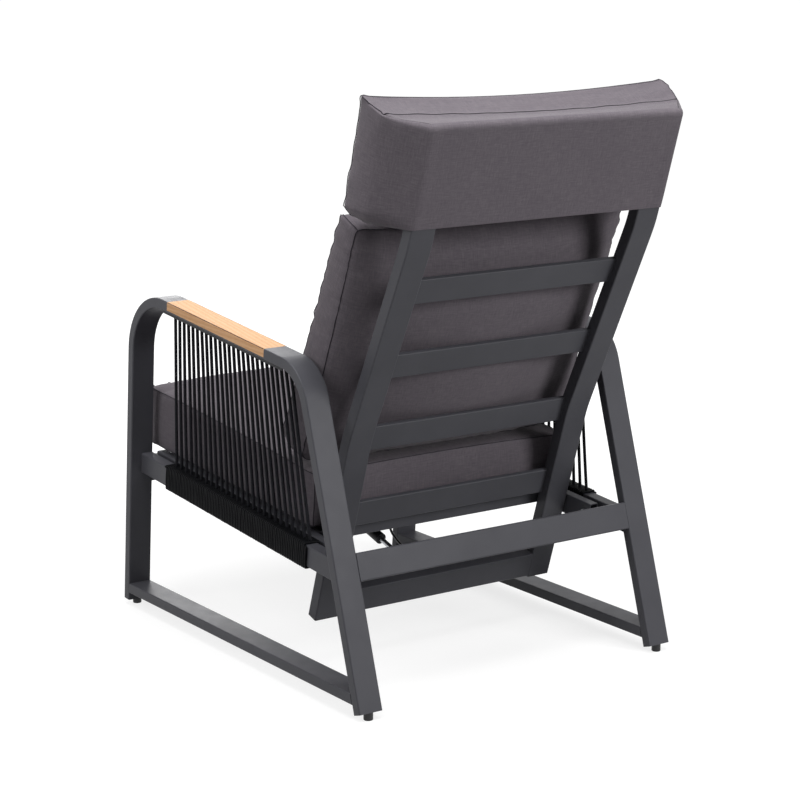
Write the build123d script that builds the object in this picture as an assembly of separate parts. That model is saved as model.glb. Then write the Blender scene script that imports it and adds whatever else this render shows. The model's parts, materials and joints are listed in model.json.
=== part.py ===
from build123d import *
import os
from math import cos, radians, sin, tan

# A reclining garden armchair: two aluminium side loops with teak arm pads and rope sides, a slatted
# seat, and a slatted back that tilts on two bolts and is held by a lockable gas spring.
# Lengths are in millimetres, X across the chair, Z up, and the sitter faces -Y.

# Side loops
overall_width = 700
loop_width = 48
loop_depth = 20
wall = 2
tube_edge = 2.5
foot_height = 12
floor_length = 848
right_angle = 90
front_lean_angle = 4.8
rear_lean_angle = 17.2
arm_fall_angle = 5.75
arm_corner_height = 655
front_bend_radius = 125
rear_bend_radius = 95

# Floor rails, side rails and crossbars
floor_rail_gap = 26
floor_rail_height = 20
side_rail_width = 25
side_rail_height = 40
seat_height = 318.5
seat_fall_angle = 4.6
crossbar_height = 50
rear_crossbar_height = 249
front_crossbar_height = 280

# Teak arm pads
pad_start_distance = 150
pad_length = 347
pad_strip = 4
pad_edge = 2.5

# Rope
rope_diameter = 5.5
strand_count = 26
strand_top_start_distance = 192
strand_top_end_distance = 597
strand_foot_start_distance = 164
strand_foot_end_distance = 640
wrap_start_distance = 142
wrap_end_distance = 650
wrap_thickness = 5
rope_bar_width = 14
rope_bar_height = 6
rope_bar_overhang = 8
seat_gap = 0.3

# Seat frame
seat_side_width = 20
seat_side_height = 40
seat_side_end_distance = 702
seat_side_clearance = 5
seat_slat_width = 40
seat_slat_thickness = 20
seat_slat_count = 7
seat_slat_first_distance = 86
seat_slat_last_distance = 578

# Back frame
pivot_from_front = 617
stile_width = 50
stile_depth = 25
stile_clearance = 3
tail_length = 151
lower_length = 214
middle_length = 409
top_length = 203
low_lean_angle = 17.9
middle_lean_angle = 26.1
top_lean_angle = 17.2
stile_bend_radius = 260
back_slat_height = 50
back_slat_thickness = 10
back_slat_count = 5
back_slat_first_distance = 205
back_slat_spacing = 155
end_bar_height = 50

# Bolts
seat_bolt_front = 127
seat_bolt_rear = 685
pivot_bolt_diameter = 10
seat_bolt_diameter = 8
bolt_head_height = 4
bolt_head_share = 1.7
running_clearance = 0.05

# Glides
glide_diameter = 17
glide_plug_length = 18
glide_edge = 1.5

# Gas spring
spring_front_height = 268
spring_front_reach = 25
spring_rear_reach = 22
spring_rear_drop = 11
cylinder_start_distance = 16
cylinder_reach = 348
cylinder_diameter = 22
cylinder_wall = 2
guide_length = 8
rod_diameter = 10
rod_insertion = 150
piston_length = 12
shank_diameter = 10
eye_diameter = 18
eye_width = 12
spring_pin_diameter = 8
pin_head_height = 2.5
bracket_plate = 3
bracket_ear = 22
ear_clearance = 1

# Release head on the rod's end, whose slotted eye lets the spring swing about the rear pin
head_front = 27
head_back = 15
head_height = 24
head_corner = 5
pin_play = 0.35
pin_travel = 4.3
pin_travel_angle = 62
stop_reach = 104
stop_offset = 24
stop_height = 26
stop_drop = 4
stop_width = 22
shaft_diameter = 6
shaft_setback = 16
shaft_rise = 7
arm_length = 20
arm_width = 10
arm_thickness = 4
arm_hub = 12

# Release lever under the front crossbar, and its cable
lever_side_room = 97
lever_height = 262
lever_drop = 20
lever_plate = 4
lever_width = 60
lever_run = 46
lever_lip = 10
wire_drop = 12
cable_diameter = 5
cable_offset = 36
cable_drop = 10
cable_lead = 22
cable_points = 8
cable_arc_share = 0.45
ferrule_diameter = 8
ferrule_length = 14
wire_diameter = 1.6
hanger_width = 18
hanger_setback = 88

# Cushions
cushion_gap = 0.3
seat_cushion_side_room = 21
seat_cushion_front_distance = 2
seat_cushion_back_distance = 604
seat_gusset_start_height = 6
seat_gusset_width = 110
seat_crown_height = 24
cushion_waist_depth = 3
cushion_corner_radius = 9
back_cushion_side_room = 8
back_cushion_start_distance = 273
back_cushion_length = 465
back_gusset_start_depth = 62
back_gusset_width = 70
back_crown_height = 20
hood_side_overhang = 18
hood_start_distance = 805
hood_cloth_thickness = 1.6
hood_clearance = 0.4
hood_front_depth = 104
hood_crown_height = 30
hood_gusset_start_depth = 45

os.makedirs("parts", exist_ok=True)
nodes = {}


def joined(solids):
    """Separate solids as one node."""
    return Compound(children=[piece.solid() for piece in solids])


def mirror_x(shape):
    mirrored = [piece.mirror(Plane.YZ) for piece in shape.solids()]
    return mirrored[0] if len(mirrored) == 1 else joined(mirrored)


def box_tube(length, width, height, edge=tube_edge):
    """A hollow tube of rounded box section along X, centred on the origin, width along Y, height along Z."""
    section = RectangleRounded(width, height, edge) - Rectangle(width - 2 * wall, height - 2 * wall)
    return extrude(Plane.YZ * section, length / 2, both=True)


def flat_bar(length, width, height, edge=tube_edge):
    """A solid bar along X with rounded edges."""
    return extrude(Plane.YZ * RectangleRounded(width, height, edge), length / 2, both=True)


def prism_x(points, low_x, high_x):
    """A prism between two X planes whose outline is drawn in Y and Z."""
    face = make_face(Polyline([Vector(0, y, z) for y, z in points], close=True))
    return extrude(Pos(low_x, 0, 0) * face, high_x - low_x, dir=(1, 0, 0))


def rod_x(diameter, low_x, high_x, y, z):
    """A round pin along X."""
    middle = (low_x + high_x) / 2
    return Pos(middle, y, z) * Rot(0, 90, 0) * Cylinder(diameter / 2, high_x - low_x)


def rod_between(start, end, diameter):
    """A round bar between two points."""
    plane = Plane(origin=start, z_dir=end - start)
    return extrude(plane * Circle(diameter / 2), (end - start).length)


# Lines of the side loop, as Y for a given Z
half_width = overall_width / 2
loop_inner = half_width - loop_width
loop_middle = half_width - loop_width / 2
seat_cushion_half_width = loop_inner - seat_cushion_side_room
back_cushion_half_width = loop_inner - back_cushion_side_room
hood_half_width = loop_inner + hood_side_overhang
lever_offset = loop_inner - lever_side_room
front_slope = tan(radians(front_lean_angle))
rear_slope = tan(radians(rear_lean_angle))
arm_slope = tan(radians(arm_fall_angle))
seat_slope = tan(radians(seat_fall_angle))


def front_face_y(z):
    return (z - foot_height) * front_slope


def front_rear_y(z):
    return front_face_y(z) + loop_depth / cos(radians(front_lean_angle))


def rear_face_y(z):
    return floor_length - (z - foot_height) * rear_slope


def rear_front_y(z):
    return rear_face_y(z) - loop_depth / cos(radians(rear_lean_angle))


def arm_top_z(y):
    corner_y = front_face_y(arm_corner_height)
    return arm_corner_height - (y - corner_y) * arm_slope


def seat_top_z(y):
    return seat_height - y * seat_slope


def along_arm(distance, depth):
    """A point on the side plane: distance along the arm's top from its front corner, depth below it."""
    corner = Vector(0, front_face_y(arm_corner_height), arm_corner_height)
    run = Vector(0, cos(radians(arm_fall_angle)), -sin(radians(arm_fall_angle)))
    down = Vector(0, -sin(radians(arm_fall_angle)), -cos(radians(arm_fall_angle)))
    return corner + run * distance + down * depth


def loop_tube():
    """The bent tube of one side: front leg, arm and rear leg, with the arm opened for the teak pad."""
    mid = loop_depth / 2
    front_mid = mid / cos(radians(front_lean_angle))
    rear_mid = mid / cos(radians(rear_lean_angle))
    arm_mid = mid / cos(radians(arm_fall_angle))
    front_foot = Vector(loop_middle, front_face_y(foot_height) + front_mid, foot_height)
    rear_foot = Vector(loop_middle, rear_face_y(foot_height) - rear_mid, foot_height)
    # The corners of the middle line are where the leg and arm middle lines meet
    arm_level = arm_top_z(0) - arm_mid
    front_z = (arm_level - front_mid * arm_slope + foot_height * front_slope * arm_slope)
    front_z = front_z / (1 + front_slope * arm_slope)
    front_y = front_face_y(front_z) + front_mid
    rear_line = floor_length - rear_mid + foot_height * rear_slope
    rear_z = (arm_level - rear_line * arm_slope) / (1 - rear_slope * arm_slope)
    rear_y = rear_face_y(rear_z) - rear_mid
    front_corner = Vector(loop_middle, front_y, front_z)
    rear_corner = Vector(loop_middle, rear_y, rear_z)
    corners = [front_foot, front_corner, rear_corner, rear_foot]
    path = FilletPolyline(*corners, radius=[front_bend_radius - mid, rear_bend_radius - mid])
    start = Plane(origin=path @ 0, x_dir=(1, 0, 0), z_dir=path % 0)
    section = RectangleRounded(loop_width, loop_depth, tube_edge)
    section -= Rectangle(loop_width - 2 * wall, loop_depth - 2 * wall)
    tube = sweep(start * section, path=path)
    return tube - arm_block(loop_width + 2 * wall, -wall, pad_edge)


def arm_block(width, top, edge):
    """The block that fills the arm's upper part, from above its top down to the metal strip."""
    corners = [along_arm(pad_start_distance, top), along_arm(pad_start_distance + pad_length, top)]
    corners += [along_arm(pad_start_distance + pad_length, loop_depth - pad_strip)]
    corners += [along_arm(pad_start_distance, loop_depth - pad_strip)]
    outline = [(p.Y, p.Z) for p in corners]
    return prism_x(outline, loop_middle - width / 2, loop_middle + width / 2)


def arm_pad():
    """The teak pad, flush with the arm, with its long upper edges eased."""
    block = arm_block(loop_width, 0, pad_edge)
    long_edges = block.edges().filter_by(Axis.X, reverse=True).sort_by(Axis.Z)
    run = along_arm(pad_start_distance + pad_length, 0) - along_arm(pad_start_distance, 0)
    upper = [e for e in long_edges if abs((e % 0).dot(run.normalized())) > cos(radians(1))]
    upper = sorted(upper, key=lambda e: (e @ (1 / 2)).Z)[-2:]
    return fillet(upper, pad_edge)


def sloped_rail(low_x, high_x, bottom_z, top_z, slope, front_line, rear_line):
    """A hollow rail that falls by a slope, cut at two lines given as their Y at the floor and Y per Z."""

    def meet(level, line):
        start, per_z = line
        y = (start + level * per_z) / (1 + per_z * slope)
        return y, level - y * slope

    def outline(low, high):
        return [meet(low, front_line), meet(low, rear_line), meet(high, rear_line), meet(high, front_line)]

    outer = prism_x(outline(bottom_z, top_z), low_x, high_x)
    inner = prism_x(outline(bottom_z + wall, top_z - wall), low_x + wall, high_x - wall)
    long_edges = [e for e in outer.edges() if abs((e % 0).X) < abs((e % 0).Y)]
    long_edges = [e for e in long_edges if abs((e % 0).Z) < abs((e % 0).Y)]
    return fillet(long_edges, tube_edge) - inner


side_rail_inner = loop_inner
side_rail_outer = loop_inner + side_rail_width
side_rail_middle = (side_rail_inner + side_rail_outer) / 2


def glide(lean, foot_y):
    """A round foot under a leg's end, with the plug that holds it inside the tube."""
    up = (0, -sin(radians(lean)), cos(radians(lean)))
    lift = Plane(origin=(loop_middle, foot_y, foot_height), x_dir=(1, 0, 0), z_dir=up)
    plug = Rectangle(loop_width - 2 * wall, loop_depth - 2 * wall)
    plug = extrude(lift * plug, glide_plug_length)
    foot = Pos(loop_middle, foot_y, 0) * Cylinder(
        glide_diameter / 2, foot_height + loop_depth, align=(Align.CENTER, Align.CENTER, Align.MIN)
    )
    below = lift * Box(
        2 * loop_width, 2 * loop_width, 2 * loop_width, align=(Align.CENTER, Align.CENTER, Align.MAX)
    )
    foot = foot & below
    foot = fillet(foot.edges().sort_by(Axis.Z)[0], glide_edge)
    return plug + foot


# Back frame geometry: distances run up the middle line of a stile from its lower end
pivot_y = pivot_from_front
pivot_z = seat_top_z(pivot_y) - seat_side_height / 2
stile_outer = loop_inner - wrap_thickness - seat_side_clearance - seat_side_width - stile_clearance
stile_inner = stile_outer - stile_width
stile_middle = stile_outer - stile_width / 2


def lean_step(lean, length):
    return Vector(0, sin(radians(lean)), cos(radians(lean))) * length


def stile_corners():
    pivot = Vector(0, pivot_y, pivot_z)
    foot = pivot - lean_step(low_lean_angle, tail_length)
    knee = pivot + lean_step(low_lean_angle, lower_length)
    shoulder = knee + lean_step(middle_lean_angle, middle_length)
    head = shoulder + lean_step(top_lean_angle, top_length)
    return [foot, knee, shoulder, head]


stile_path = FilletPolyline(*stile_corners(), radius=stile_bend_radius)
stile_length = stile_path.length


def on_stile(distance):
    """A plane on the stile's middle line: X across, Y forward of the line, Z up the line."""
    share = distance / stile_length
    up = stile_path % share
    return Plane(origin=stile_path @ share, x_dir=(-1, 0, 0), z_dir=up)


def back_stile():
    start = Plane(origin=stile_path @ 0, x_dir=(1, 0, 0), z_dir=stile_path % 0)
    section = RectangleRounded(stile_width, stile_depth, tube_edge)
    section -= Rectangle(stile_width - 2 * wall, stile_depth - 2 * wall)
    stile = Pos(stile_middle, 0, 0) * sweep(start * section, path=stile_path)
    return stile - rod_x(
        pivot_bolt_diameter + 2 * running_clearance, stile_middle, overall_width, pivot_y, pivot_z
    )


def back_cross(distance, height, depth, forward, hollow):
    """A cross member between the stiles, forward of their middle line."""
    length = 2 * stile_inner
    maker = box_tube if hollow else flat_bar
    bar = maker(length, depth, height)
    plane = on_stile(distance)
    return plane * (Pos(0, forward, 0) * bar)


# Gas spring line, from the pin on the front crossbar to the pin on the back's lower bar
def tilted(at, lean):
    """A plane across the chair at a point, with Z leaning forward by an angle and Y to the rear."""
    return Plane(origin=at, x_dir=(1, 0, 0), z_dir=(0, -sin(radians(lean)), cos(radians(lean))))


half_front_leg = loop_depth / 2 / cos(radians(front_lean_angle))
half_rear_leg = loop_depth / 2 / cos(radians(rear_lean_angle))
front_bar_y = front_face_y(front_crossbar_height) + half_front_leg
rear_bar_y = rear_face_y(rear_crossbar_height) - half_rear_leg
front_bar_plane = tilted((0, front_bar_y, front_crossbar_height), -front_lean_angle)
rear_bar_plane = tilted((0, rear_bar_y, rear_crossbar_height), rear_lean_angle)
tail_plane = on_stile(end_bar_height / 2)
spring_start = front_bar_plane.from_local_coords(
    Vector(0, loop_depth / 2 + spring_front_reach, spring_front_height - front_crossbar_height)
)
spring_end = tail_plane.from_local_coords(
    Vector(0, stile_depth / 2 + spring_rear_reach, -spring_rear_drop)
)
spring_run = (spring_end - spring_start).normalized()
spring_length = (spring_end - spring_start).length
spring_plane = Plane(origin=spring_start, x_dir=(1, 0, 0), z_dir=spring_run)


def spring_bar(diameter, start, end):
    """A round bar on the spring's line."""
    return spring_plane * Pos(0, 0, start) * Cylinder(
        diameter / 2, end - start, align=(Align.CENTER, Align.CENTER, Align.MIN)
    )


def headed_pin(across, at):
    """A pin along X through a bracket's ears, with a flat head at one end and a clip at the other."""
    ears = eye_width / 2 + ear_clearance + bracket_plate
    ends = ears + pin_head_height
    pin = rod_x(spring_pin_diameter, across - ends, across + ends, at.Y, at.Z)
    head = spring_pin_diameter * bolt_head_share
    pin += rod_x(head, across + ears, across + ends, at.Y, at.Z)
    return pin + rod_x(head, across - ends, across - ears, at.Y, at.Z)


def clevis(plane, reach=spring_front_reach):
    """Two ears on a base plate, drawn in a plane whose origin is the base's back and Z points to the pin."""
    inner_gap = eye_width + 2 * ear_clearance
    width = inner_gap + 2 * bracket_plate
    shape = plane * Pos(0, 0, bracket_plate / 2) * Box(width + bracket_ear, bracket_ear, bracket_plate)
    for side in (-1, 1):
        middle = side * (inner_gap + bracket_plate) / 2
        shape += plane * Pos(middle, 0, reach) * Rot(0, 90, 0) * Cylinder(bracket_ear / 2, bracket_plate)
        shape += plane * Pos(middle, 0, reach / 2) * Box(bracket_plate, bracket_ear, reach)
    hole = spring_pin_diameter + 2 * running_clearance
    return shape - plane * Pos(0, 0, reach) * Rot(0, 90, 0) * Cylinder(hole / 2, 2 * width)


def pad(planes, half_widths, lows, highs, belly, crown):
    """A stuffed pad lofted through sections that have straight gussets, a crown above and a belly below."""
    sections = []
    for plane, half, low, high, down, up in zip(planes, half_widths, lows, highs, belly, crown):
        outline = Line((-half, low), (-half, high))
        outline += ThreePointArc((-half, high), (0, high + up), (half, high))
        outline += Line((half, high), (half, low))
        outline += ThreePointArc((half, low), (0, low - down), (-half, low))
        sections.append(plane * make_face(outline))
    return loft(sections, ruled=True)


# Where a pad's sections stand along its length, and how full it is there
pad_place_shares = (0, 0.012, 0.04, 0.14, 0.32, 0.5, 0.68, 0.86, 0.96, 0.988, 1)
pad_corner_shares = (1, 0.4, 0, 0, 0, 0, 0, 0, 0, 0.4, 1)
pad_crown_shares = (0.25, 0.4, 0.65, 0.88, 0.97, 1, 0.93, 0.62, 0.2, 0.1, 0.05)
pad_waist_shares = (0, 0, 0.1, 0.5, 0.88, 1, 0.88, 0.5, 0.1, 0, 0)


def box_pad(plane_at, length, half_width, gusset_start, gusset_width, belly, crown):
    """A box cushion along its length, with rounded ends and sides drawn in between its corners."""
    planes = [plane_at(share * length) for share in pad_place_shares]
    halves = []
    lows = []
    highs = []
    for corner, waist in zip(pad_corner_shares, pad_waist_shares):
        halves.append(half_width - cushion_corner_radius * corner - cushion_waist_depth * waist)
        lows.append(gusset_start + cushion_corner_radius * corner)
        highs.append(gusset_start + gusset_width - cushion_corner_radius * corner)
    downs = [belly * share for share in pad_crown_shares]
    ups = [crown * share for share in pad_crown_shares]
    return pad(planes, halves, lows, highs, downs, ups)


def seat_plane(distance):
    """A section plane of the seat, rearward from its front edge, with Y up from the slats."""
    lean = radians(seat_fall_angle)
    front = Vector(0, seat_cushion_front_distance, seat_top_z(seat_cushion_front_distance))
    at = front + Vector(0, cos(lean), -sin(lean)) * distance
    return Plane(origin=at, x_dir=(1, 0, 0), z_dir=(0, -cos(lean), sin(lean)))


def run_plane(corner, lean, distance):
    """A section plane on a straight run of the back, with Y forward from the stile's middle line."""
    at = corner + lean_step(lean, distance)
    return Plane(origin=at, x_dir=(-1, 0, 0), z_dir=lean_step(lean, 1))


def seat_cushion():
    length = seat_cushion_back_distance - seat_cushion_front_distance
    belly = seat_gusset_start_height - cushion_gap
    return box_pad(
        seat_plane,
        length,
        seat_cushion_half_width,
        seat_gusset_start_height,
        seat_gusset_width,
        belly,
        seat_crown_height,
    )


def back_cushion():
    knee = stile_corners()[1]
    first = back_cushion_start_distance - tail_length - lower_length

    def plane_at(distance):
        return run_plane(knee, middle_lean_angle, first + distance)

    belly = back_gusset_start_depth - cushion_gap
    return box_pad(
        plane_at,
        back_cushion_length,
        back_cushion_half_width,
        stile_depth / 2 + back_gusset_start_depth,
        back_gusset_width,
        belly,
        back_crown_height,
    )


# The hood's sections: how far up it they stand, how level they lie, how far forward and wide they
# are, and how full they are in front
hood_place_shares = (0, 0.04, 0.1, 0.3, 0.62, 0.93, 0.98, 1)
hood_level_shares = (0.8, 0.75, 0.6, 0.25, 0, -0.2, -0.3, -0.35)
hood_front_shares = (0.7, 0.9, 1, 1, 1, 1.02, 1.02, 1)
hood_side_shares = (0.5, 0.8, 1, 1, 1, 1, 1, 0.98)
hood_crown_shares = (0.3, 0.5, 0.7, 1, 1, 0.6, 0.4, 0.3)


def headrest_hood():
    """The pillow that slips over the back's top, with its flap behind and a pocket for the frame."""
    shoulder = stile_corners()[2]
    first = hood_start_distance - tail_length - lower_length - middle_length
    last = top_length + hood_clearance + hood_cloth_thickness
    skin = hood_clearance + hood_cloth_thickness
    stile_front = stile_depth + skin
    rear_half = stile_outer + skin
    sections = []
    for place, level, front, side, crown in zip(
        hood_place_shares, hood_level_shares, hood_front_shares, hood_side_shares, hood_crown_shares
    ):
        rear_middle = shoulder + lean_step(top_lean_angle, first + place * (last - first))
        at = rear_middle + lean_step(top_lean_angle + right_angle, stile_depth / 2 + skin)
        plane = Plane(origin=at, x_dir=(-1, 0, 0), z_dir=lean_step(top_lean_angle * (1 - level), 1))
        half = rear_half + side * (hood_half_width - rear_half)
        nose = stile_front + hood_front_depth * front
        gusset = stile_front + hood_gusset_start_depth
        outline = Polyline(
            (-half, nose), (-half, gusset), (-rear_half, stile_front), (-rear_half, 0),
            (rear_half, 0), (rear_half, stile_front), (half, gusset), (half, nose),
        )
        outline += ThreePointArc((half, nose), (0, nose + hood_crown_height * crown), (-half, nose))
        sections.append(plane * make_face(outline))
    body = loft(sections, ruled=True)
    pocket_plane = run_plane(shoulder, top_lean_angle, top_length + hood_clearance)
    pocket = Box(
        2 * (stile_outer + hood_clearance),
        stile_depth + 2 * hood_clearance,
        2 * (top_length + hood_clearance),
        align=(Align.CENTER, Align.CENTER, Align.MAX),
    )
    return body - pocket_plane * pocket


def strand_line(index):
    """The upper and lower end of a strand's middle line, beyond the bar above and the wrap below."""
    share = index / (strand_count - 1)
    top_y = strand_top_start_distance + share * (strand_top_end_distance - strand_top_start_distance)
    foot_y = strand_foot_start_distance + share * (strand_foot_end_distance - strand_foot_start_distance)
    top = Vector(loop_middle, top_y, arm_top_z(top_y) - loop_depth)
    foot = Vector(side_rail_middle, foot_y, seat_top_z(foot_y))
    return top, foot


def rope_strands():
    """The taut strands of one side, each trimmed to the bar above it and the wrap below it."""
    first = strand_foot_start_distance - loop_width
    last = strand_foot_end_distance + loop_width
    high = (loop_depth + rope_bar_height + seat_gap) / cos(radians(arm_fall_angle))
    low = wrap_thickness / cos(radians(seat_fall_angle)) + seat_gap
    outline = [(first, seat_top_z(first) + low), (last, seat_top_z(last) + low)]
    outline += [(last, arm_top_z(last) - high), (first, arm_top_z(first) - high)]
    room = prism_x(outline, side_rail_middle - loop_width, loop_middle + loop_width)
    strands = []
    for index in range(strand_count):
        top, foot = strand_line(index)
        strands.append(rod_between(foot, top, rope_diameter) & room)
    return joined(strands)


def rope_wrap():
    """The rope wound tightly along the side rail, as one sleeve round it."""
    lean = radians(seat_fall_angle)
    at = Vector(side_rail_middle, wrap_start_distance, seat_top_z(wrap_start_distance) - side_rail_height / 2)
    plane = Plane(origin=at, x_dir=(1, 0, 0), z_dir=(0, cos(lean), -sin(lean)))
    inner_height = side_rail_height * cos(lean)
    outer = RectangleRounded(
        side_rail_width + 2 * wrap_thickness, inner_height + 2 * wrap_thickness, wrap_thickness
    )
    section = outer - RectangleRounded(side_rail_width, inner_height, tube_edge)
    return extrude(plane * section, (wrap_end_distance - wrap_start_distance) / cos(lean))


def rope_bar():
    arm_start = front_face_y(arm_corner_height)
    first = (strand_top_start_distance - rope_bar_overhang - arm_start) / cos(radians(arm_fall_angle))
    last = (strand_top_end_distance + rope_bar_overhang - arm_start) / cos(radians(arm_fall_angle))
    corners = [along_arm(first, loop_depth), along_arm(last, loop_depth)]
    corners += [along_arm(last, loop_depth + rope_bar_height), along_arm(first, loop_depth + rope_bar_height)]
    outline = [(p.Y, p.Z) for p in corners]
    return prism_x(outline, loop_middle - rope_bar_width / 2, loop_middle + rope_bar_width / 2)


def both_sides(name, shape):
    nodes[f"{name}_left"] = shape
    nodes[f"{name}_right"] = mirror_x(shape)


def pair(shape):
    """A part and its mirror image as two solids of one node."""
    return joined([shape, mirror_x(shape)])


def bolt_ring(diameter, bore, low_x, high_x, y, z):
    return rod_x(diameter, low_x, high_x, y, z) - rod_x(bore, low_x - wall, high_x + wall, y, z)


seat_side_outer = loop_inner - wrap_thickness - seat_side_clearance
seat_side_inner = seat_side_outer - seat_side_width
seat_bolt_places = (seat_bolt_front, seat_bolt_rear)


def seat_bolt_z(y):
    return seat_top_z(y) - seat_side_height / 2


def build_loops():
    both_sides("side_loop", loop_tube())
    floor_rail_top = floor_rail_gap + floor_rail_height
    front_line = (front_rear_y(0), front_slope)
    rear_line = (rear_front_y(0), -rear_slope)
    both_sides(
        "floor_rail",
        sloped_rail(loop_inner, half_width, floor_rail_gap, floor_rail_top, 0, front_line, rear_line),
    )
    side_rail = sloped_rail(
        side_rail_inner,
        side_rail_outer,
        seat_height - side_rail_height,
        seat_height,
        seat_slope,
        front_line,
        rear_line,
    )
    hole = seat_bolt_diameter + 2 * running_clearance
    for y in seat_bolt_places:
        side_rail -= rod_x(hole, side_rail_inner - wall, side_rail_inner + 2 * wall, y, seat_bolt_z(y))
    both_sides("side_rail", side_rail)
    both_sides("arm_pad", arm_pad())
    both_sides("rope_bar", rope_bar())
    both_sides("rope_strands", rope_strands())
    both_sides("rope_wrap", rope_wrap())
    crossbar = box_tube(2 * loop_inner, loop_depth, crossbar_height)
    nodes["rear_crossbar"] = rear_bar_plane * crossbar
    nodes["front_crossbar"] = front_bar_plane * crossbar
    front_foot = glide(-front_lean_angle, front_face_y(foot_height) + half_front_leg)
    rear_foot = glide(rear_lean_angle, rear_face_y(foot_height) - half_rear_leg)
    nodes["glides"] = joined([front_foot, rear_foot, mirror_x(front_foot), mirror_x(rear_foot)])


def build_seat():
    front_line = (front_rear_y(0), front_slope)
    side = sloped_rail(
        seat_side_inner,
        seat_side_outer,
        seat_height - seat_side_height,
        seat_height,
        seat_slope,
        front_line,
        (seat_side_end_distance, 0),
    )
    hole = seat_bolt_diameter + 2 * running_clearance
    for y in seat_bolt_places:
        side -= rod_x(hole, seat_side_inner - wall, seat_side_outer + wall, y, seat_bolt_z(y))
    pivot_hole = pivot_bolt_diameter + 2 * running_clearance
    side -= rod_x(pivot_hole, seat_side_inner - wall, seat_side_outer + wall, pivot_y, pivot_z)
    both_sides("seat_side", side)
    for index in range(seat_slat_count):
        share = index / (seat_slat_count - 1)
        y = seat_slat_first_distance * (1 - share) + seat_slat_last_distance * share
        plane = tilted((0, y, seat_top_z(y)), -seat_fall_angle)
        slat = box_tube(2 * seat_side_inner, seat_slat_width, seat_slat_thickness)
        nodes[f"seat_slat_{index + 1}"] = plane * Pos(0, 0, -seat_slat_thickness / 2) * slat
    bolts = []
    spacers = []
    for y in seat_bolt_places:
        z = seat_bolt_z(y)
        head = seat_bolt_diameter * bolt_head_share
        bolt = rod_x(seat_bolt_diameter, seat_side_inner, side_rail_middle, y, z)
        bolt += rod_x(head, seat_side_inner - bolt_head_height, seat_side_inner, y, z)
        bolts += [bolt, mirror_x(bolt)]
        spacer = bolt_ring(2 * seat_bolt_diameter, hole, seat_side_outer, side_rail_inner, y, z)
        spacers += [spacer, mirror_x(spacer)]
    nodes["seat_bolts"] = joined(bolts)
    nodes["seat_spacers"] = joined(spacers)
    head = pivot_bolt_diameter * bolt_head_share
    bolt = rod_x(pivot_bolt_diameter, stile_inner + 2 * wall, seat_side_outer, pivot_y, pivot_z)
    bolt += rod_x(head, seat_side_outer, seat_side_outer + bolt_head_height, pivot_y, pivot_z)
    nodes["pivot_bolts"] = pair(bolt)
    washer_start = stile_outer + seat_gap
    washer = bolt_ring(
        2 * pivot_bolt_diameter, pivot_hole, washer_start, seat_side_inner, pivot_y, pivot_z
    )
    nodes["pivot_washers"] = pair(washer)
    nodes["seat_cushion"] = seat_cushion()


def build_back():
    both_sides("back_stile", back_stile())
    forward = (stile_depth - back_slat_thickness) / 2
    for index in range(back_slat_count):
        distance = back_slat_first_distance + index * back_slat_spacing
        nodes[f"back_slat_{index + 1}"] = back_cross(
            distance, back_slat_height, back_slat_thickness, forward, False
        )
    nodes["back_lower_bar"] = back_cross(end_bar_height / 2, end_bar_height, stile_depth, 0, True)
    nodes["back_top_bar"] = back_cross(
        stile_length - end_bar_height / 2, end_bar_height, stile_depth, 0, True
    )
    nodes["back_cushion"] = back_cushion()
    nodes["headrest_hood"] = headrest_hood()
    plug = stile_path @ 0
    up = stile_path % 0
    plane = Plane(origin=plug, x_dir=(1, 0, 0), z_dir=up)
    inner = extrude(plane * Rectangle(stile_width - 2 * wall, stile_depth - 2 * wall), glide_plug_length)
    cap = extrude(plane * RectangleRounded(stile_width, stile_depth, tube_edge), -wall)
    nodes["stile_end_plugs"] = pair(Pos(stile_middle, 0, 0) * (inner + cap))
    bush = bolt_ring(
        pivot_bolt_diameter * bolt_head_share,
        pivot_bolt_diameter + 2 * running_clearance,
        stile_inner + wall,
        stile_outer - wall,
        pivot_y,
        pivot_z,
    )
    nodes["pivot_bushes"] = pair(bush)


def build_spring():
    hole = spring_pin_diameter + 2 * running_clearance
    front_base = Plane(
        origin=front_bar_plane.from_local_coords(
            Vector(0, loop_depth / 2, spring_front_height - front_crossbar_height)
        ),
        x_dir=(1, 0, 0),
        z_dir=front_bar_plane.y_dir,
    )
    nodes["spring_front_bracket"] = clevis(front_base)
    rear_base = Plane(
        origin=tail_plane.from_local_coords(Vector(0, stile_depth / 2, -spring_rear_drop)),
        x_dir=(1, 0, 0),
        z_dir=tail_plane.y_dir,
    )
    nodes["spring_rear_bracket"] = clevis(rear_base, spring_rear_reach)
    nodes["spring_rear_pin"] = headed_pin(0, spring_end)
    cylinder = spring_bar(cylinder_diameter, cylinder_start_distance, cylinder_reach)
    bore = cylinder_diameter - 2 * cylinder_wall
    cylinder -= spring_bar(bore, cylinder_start_distance + guide_length, cylinder_reach - guide_length)
    rod_hole = rod_diameter + 2 * running_clearance
    cylinder -= spring_bar(rod_hole, cylinder_reach - 2 * guide_length, spring_length)
    nodes["gas_cylinder"] = cylinder
    eye = rod_x(eye_diameter, -eye_width / 2, eye_width / 2, spring_start.Y, spring_start.Z)
    eye += spring_bar(shank_diameter, 0, cylinder_start_distance)
    nodes["cylinder_eye"] = eye - rod_x(hole, -eye_width, eye_width, spring_start.Y, spring_start.Z)
    rod_end = spring_length - head_front
    rod = spring_bar(rod_diameter, cylinder_reach - rod_insertion, rod_end)
    piston_start = cylinder_reach - rod_insertion
    rod += spring_bar(bore - 4 * running_clearance, piston_start - piston_length, piston_start)
    nodes["gas_rod"] = rod


def beside_spring(across, along, up):
    """A plane beside the gas spring, with Z along it towards the back and Y down from its line."""
    at = spring_plane.from_local_coords(Vector(across, -up, along))
    return Plane(origin=at, x_dir=(1, 0, 0), z_dir=spring_run)


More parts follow.
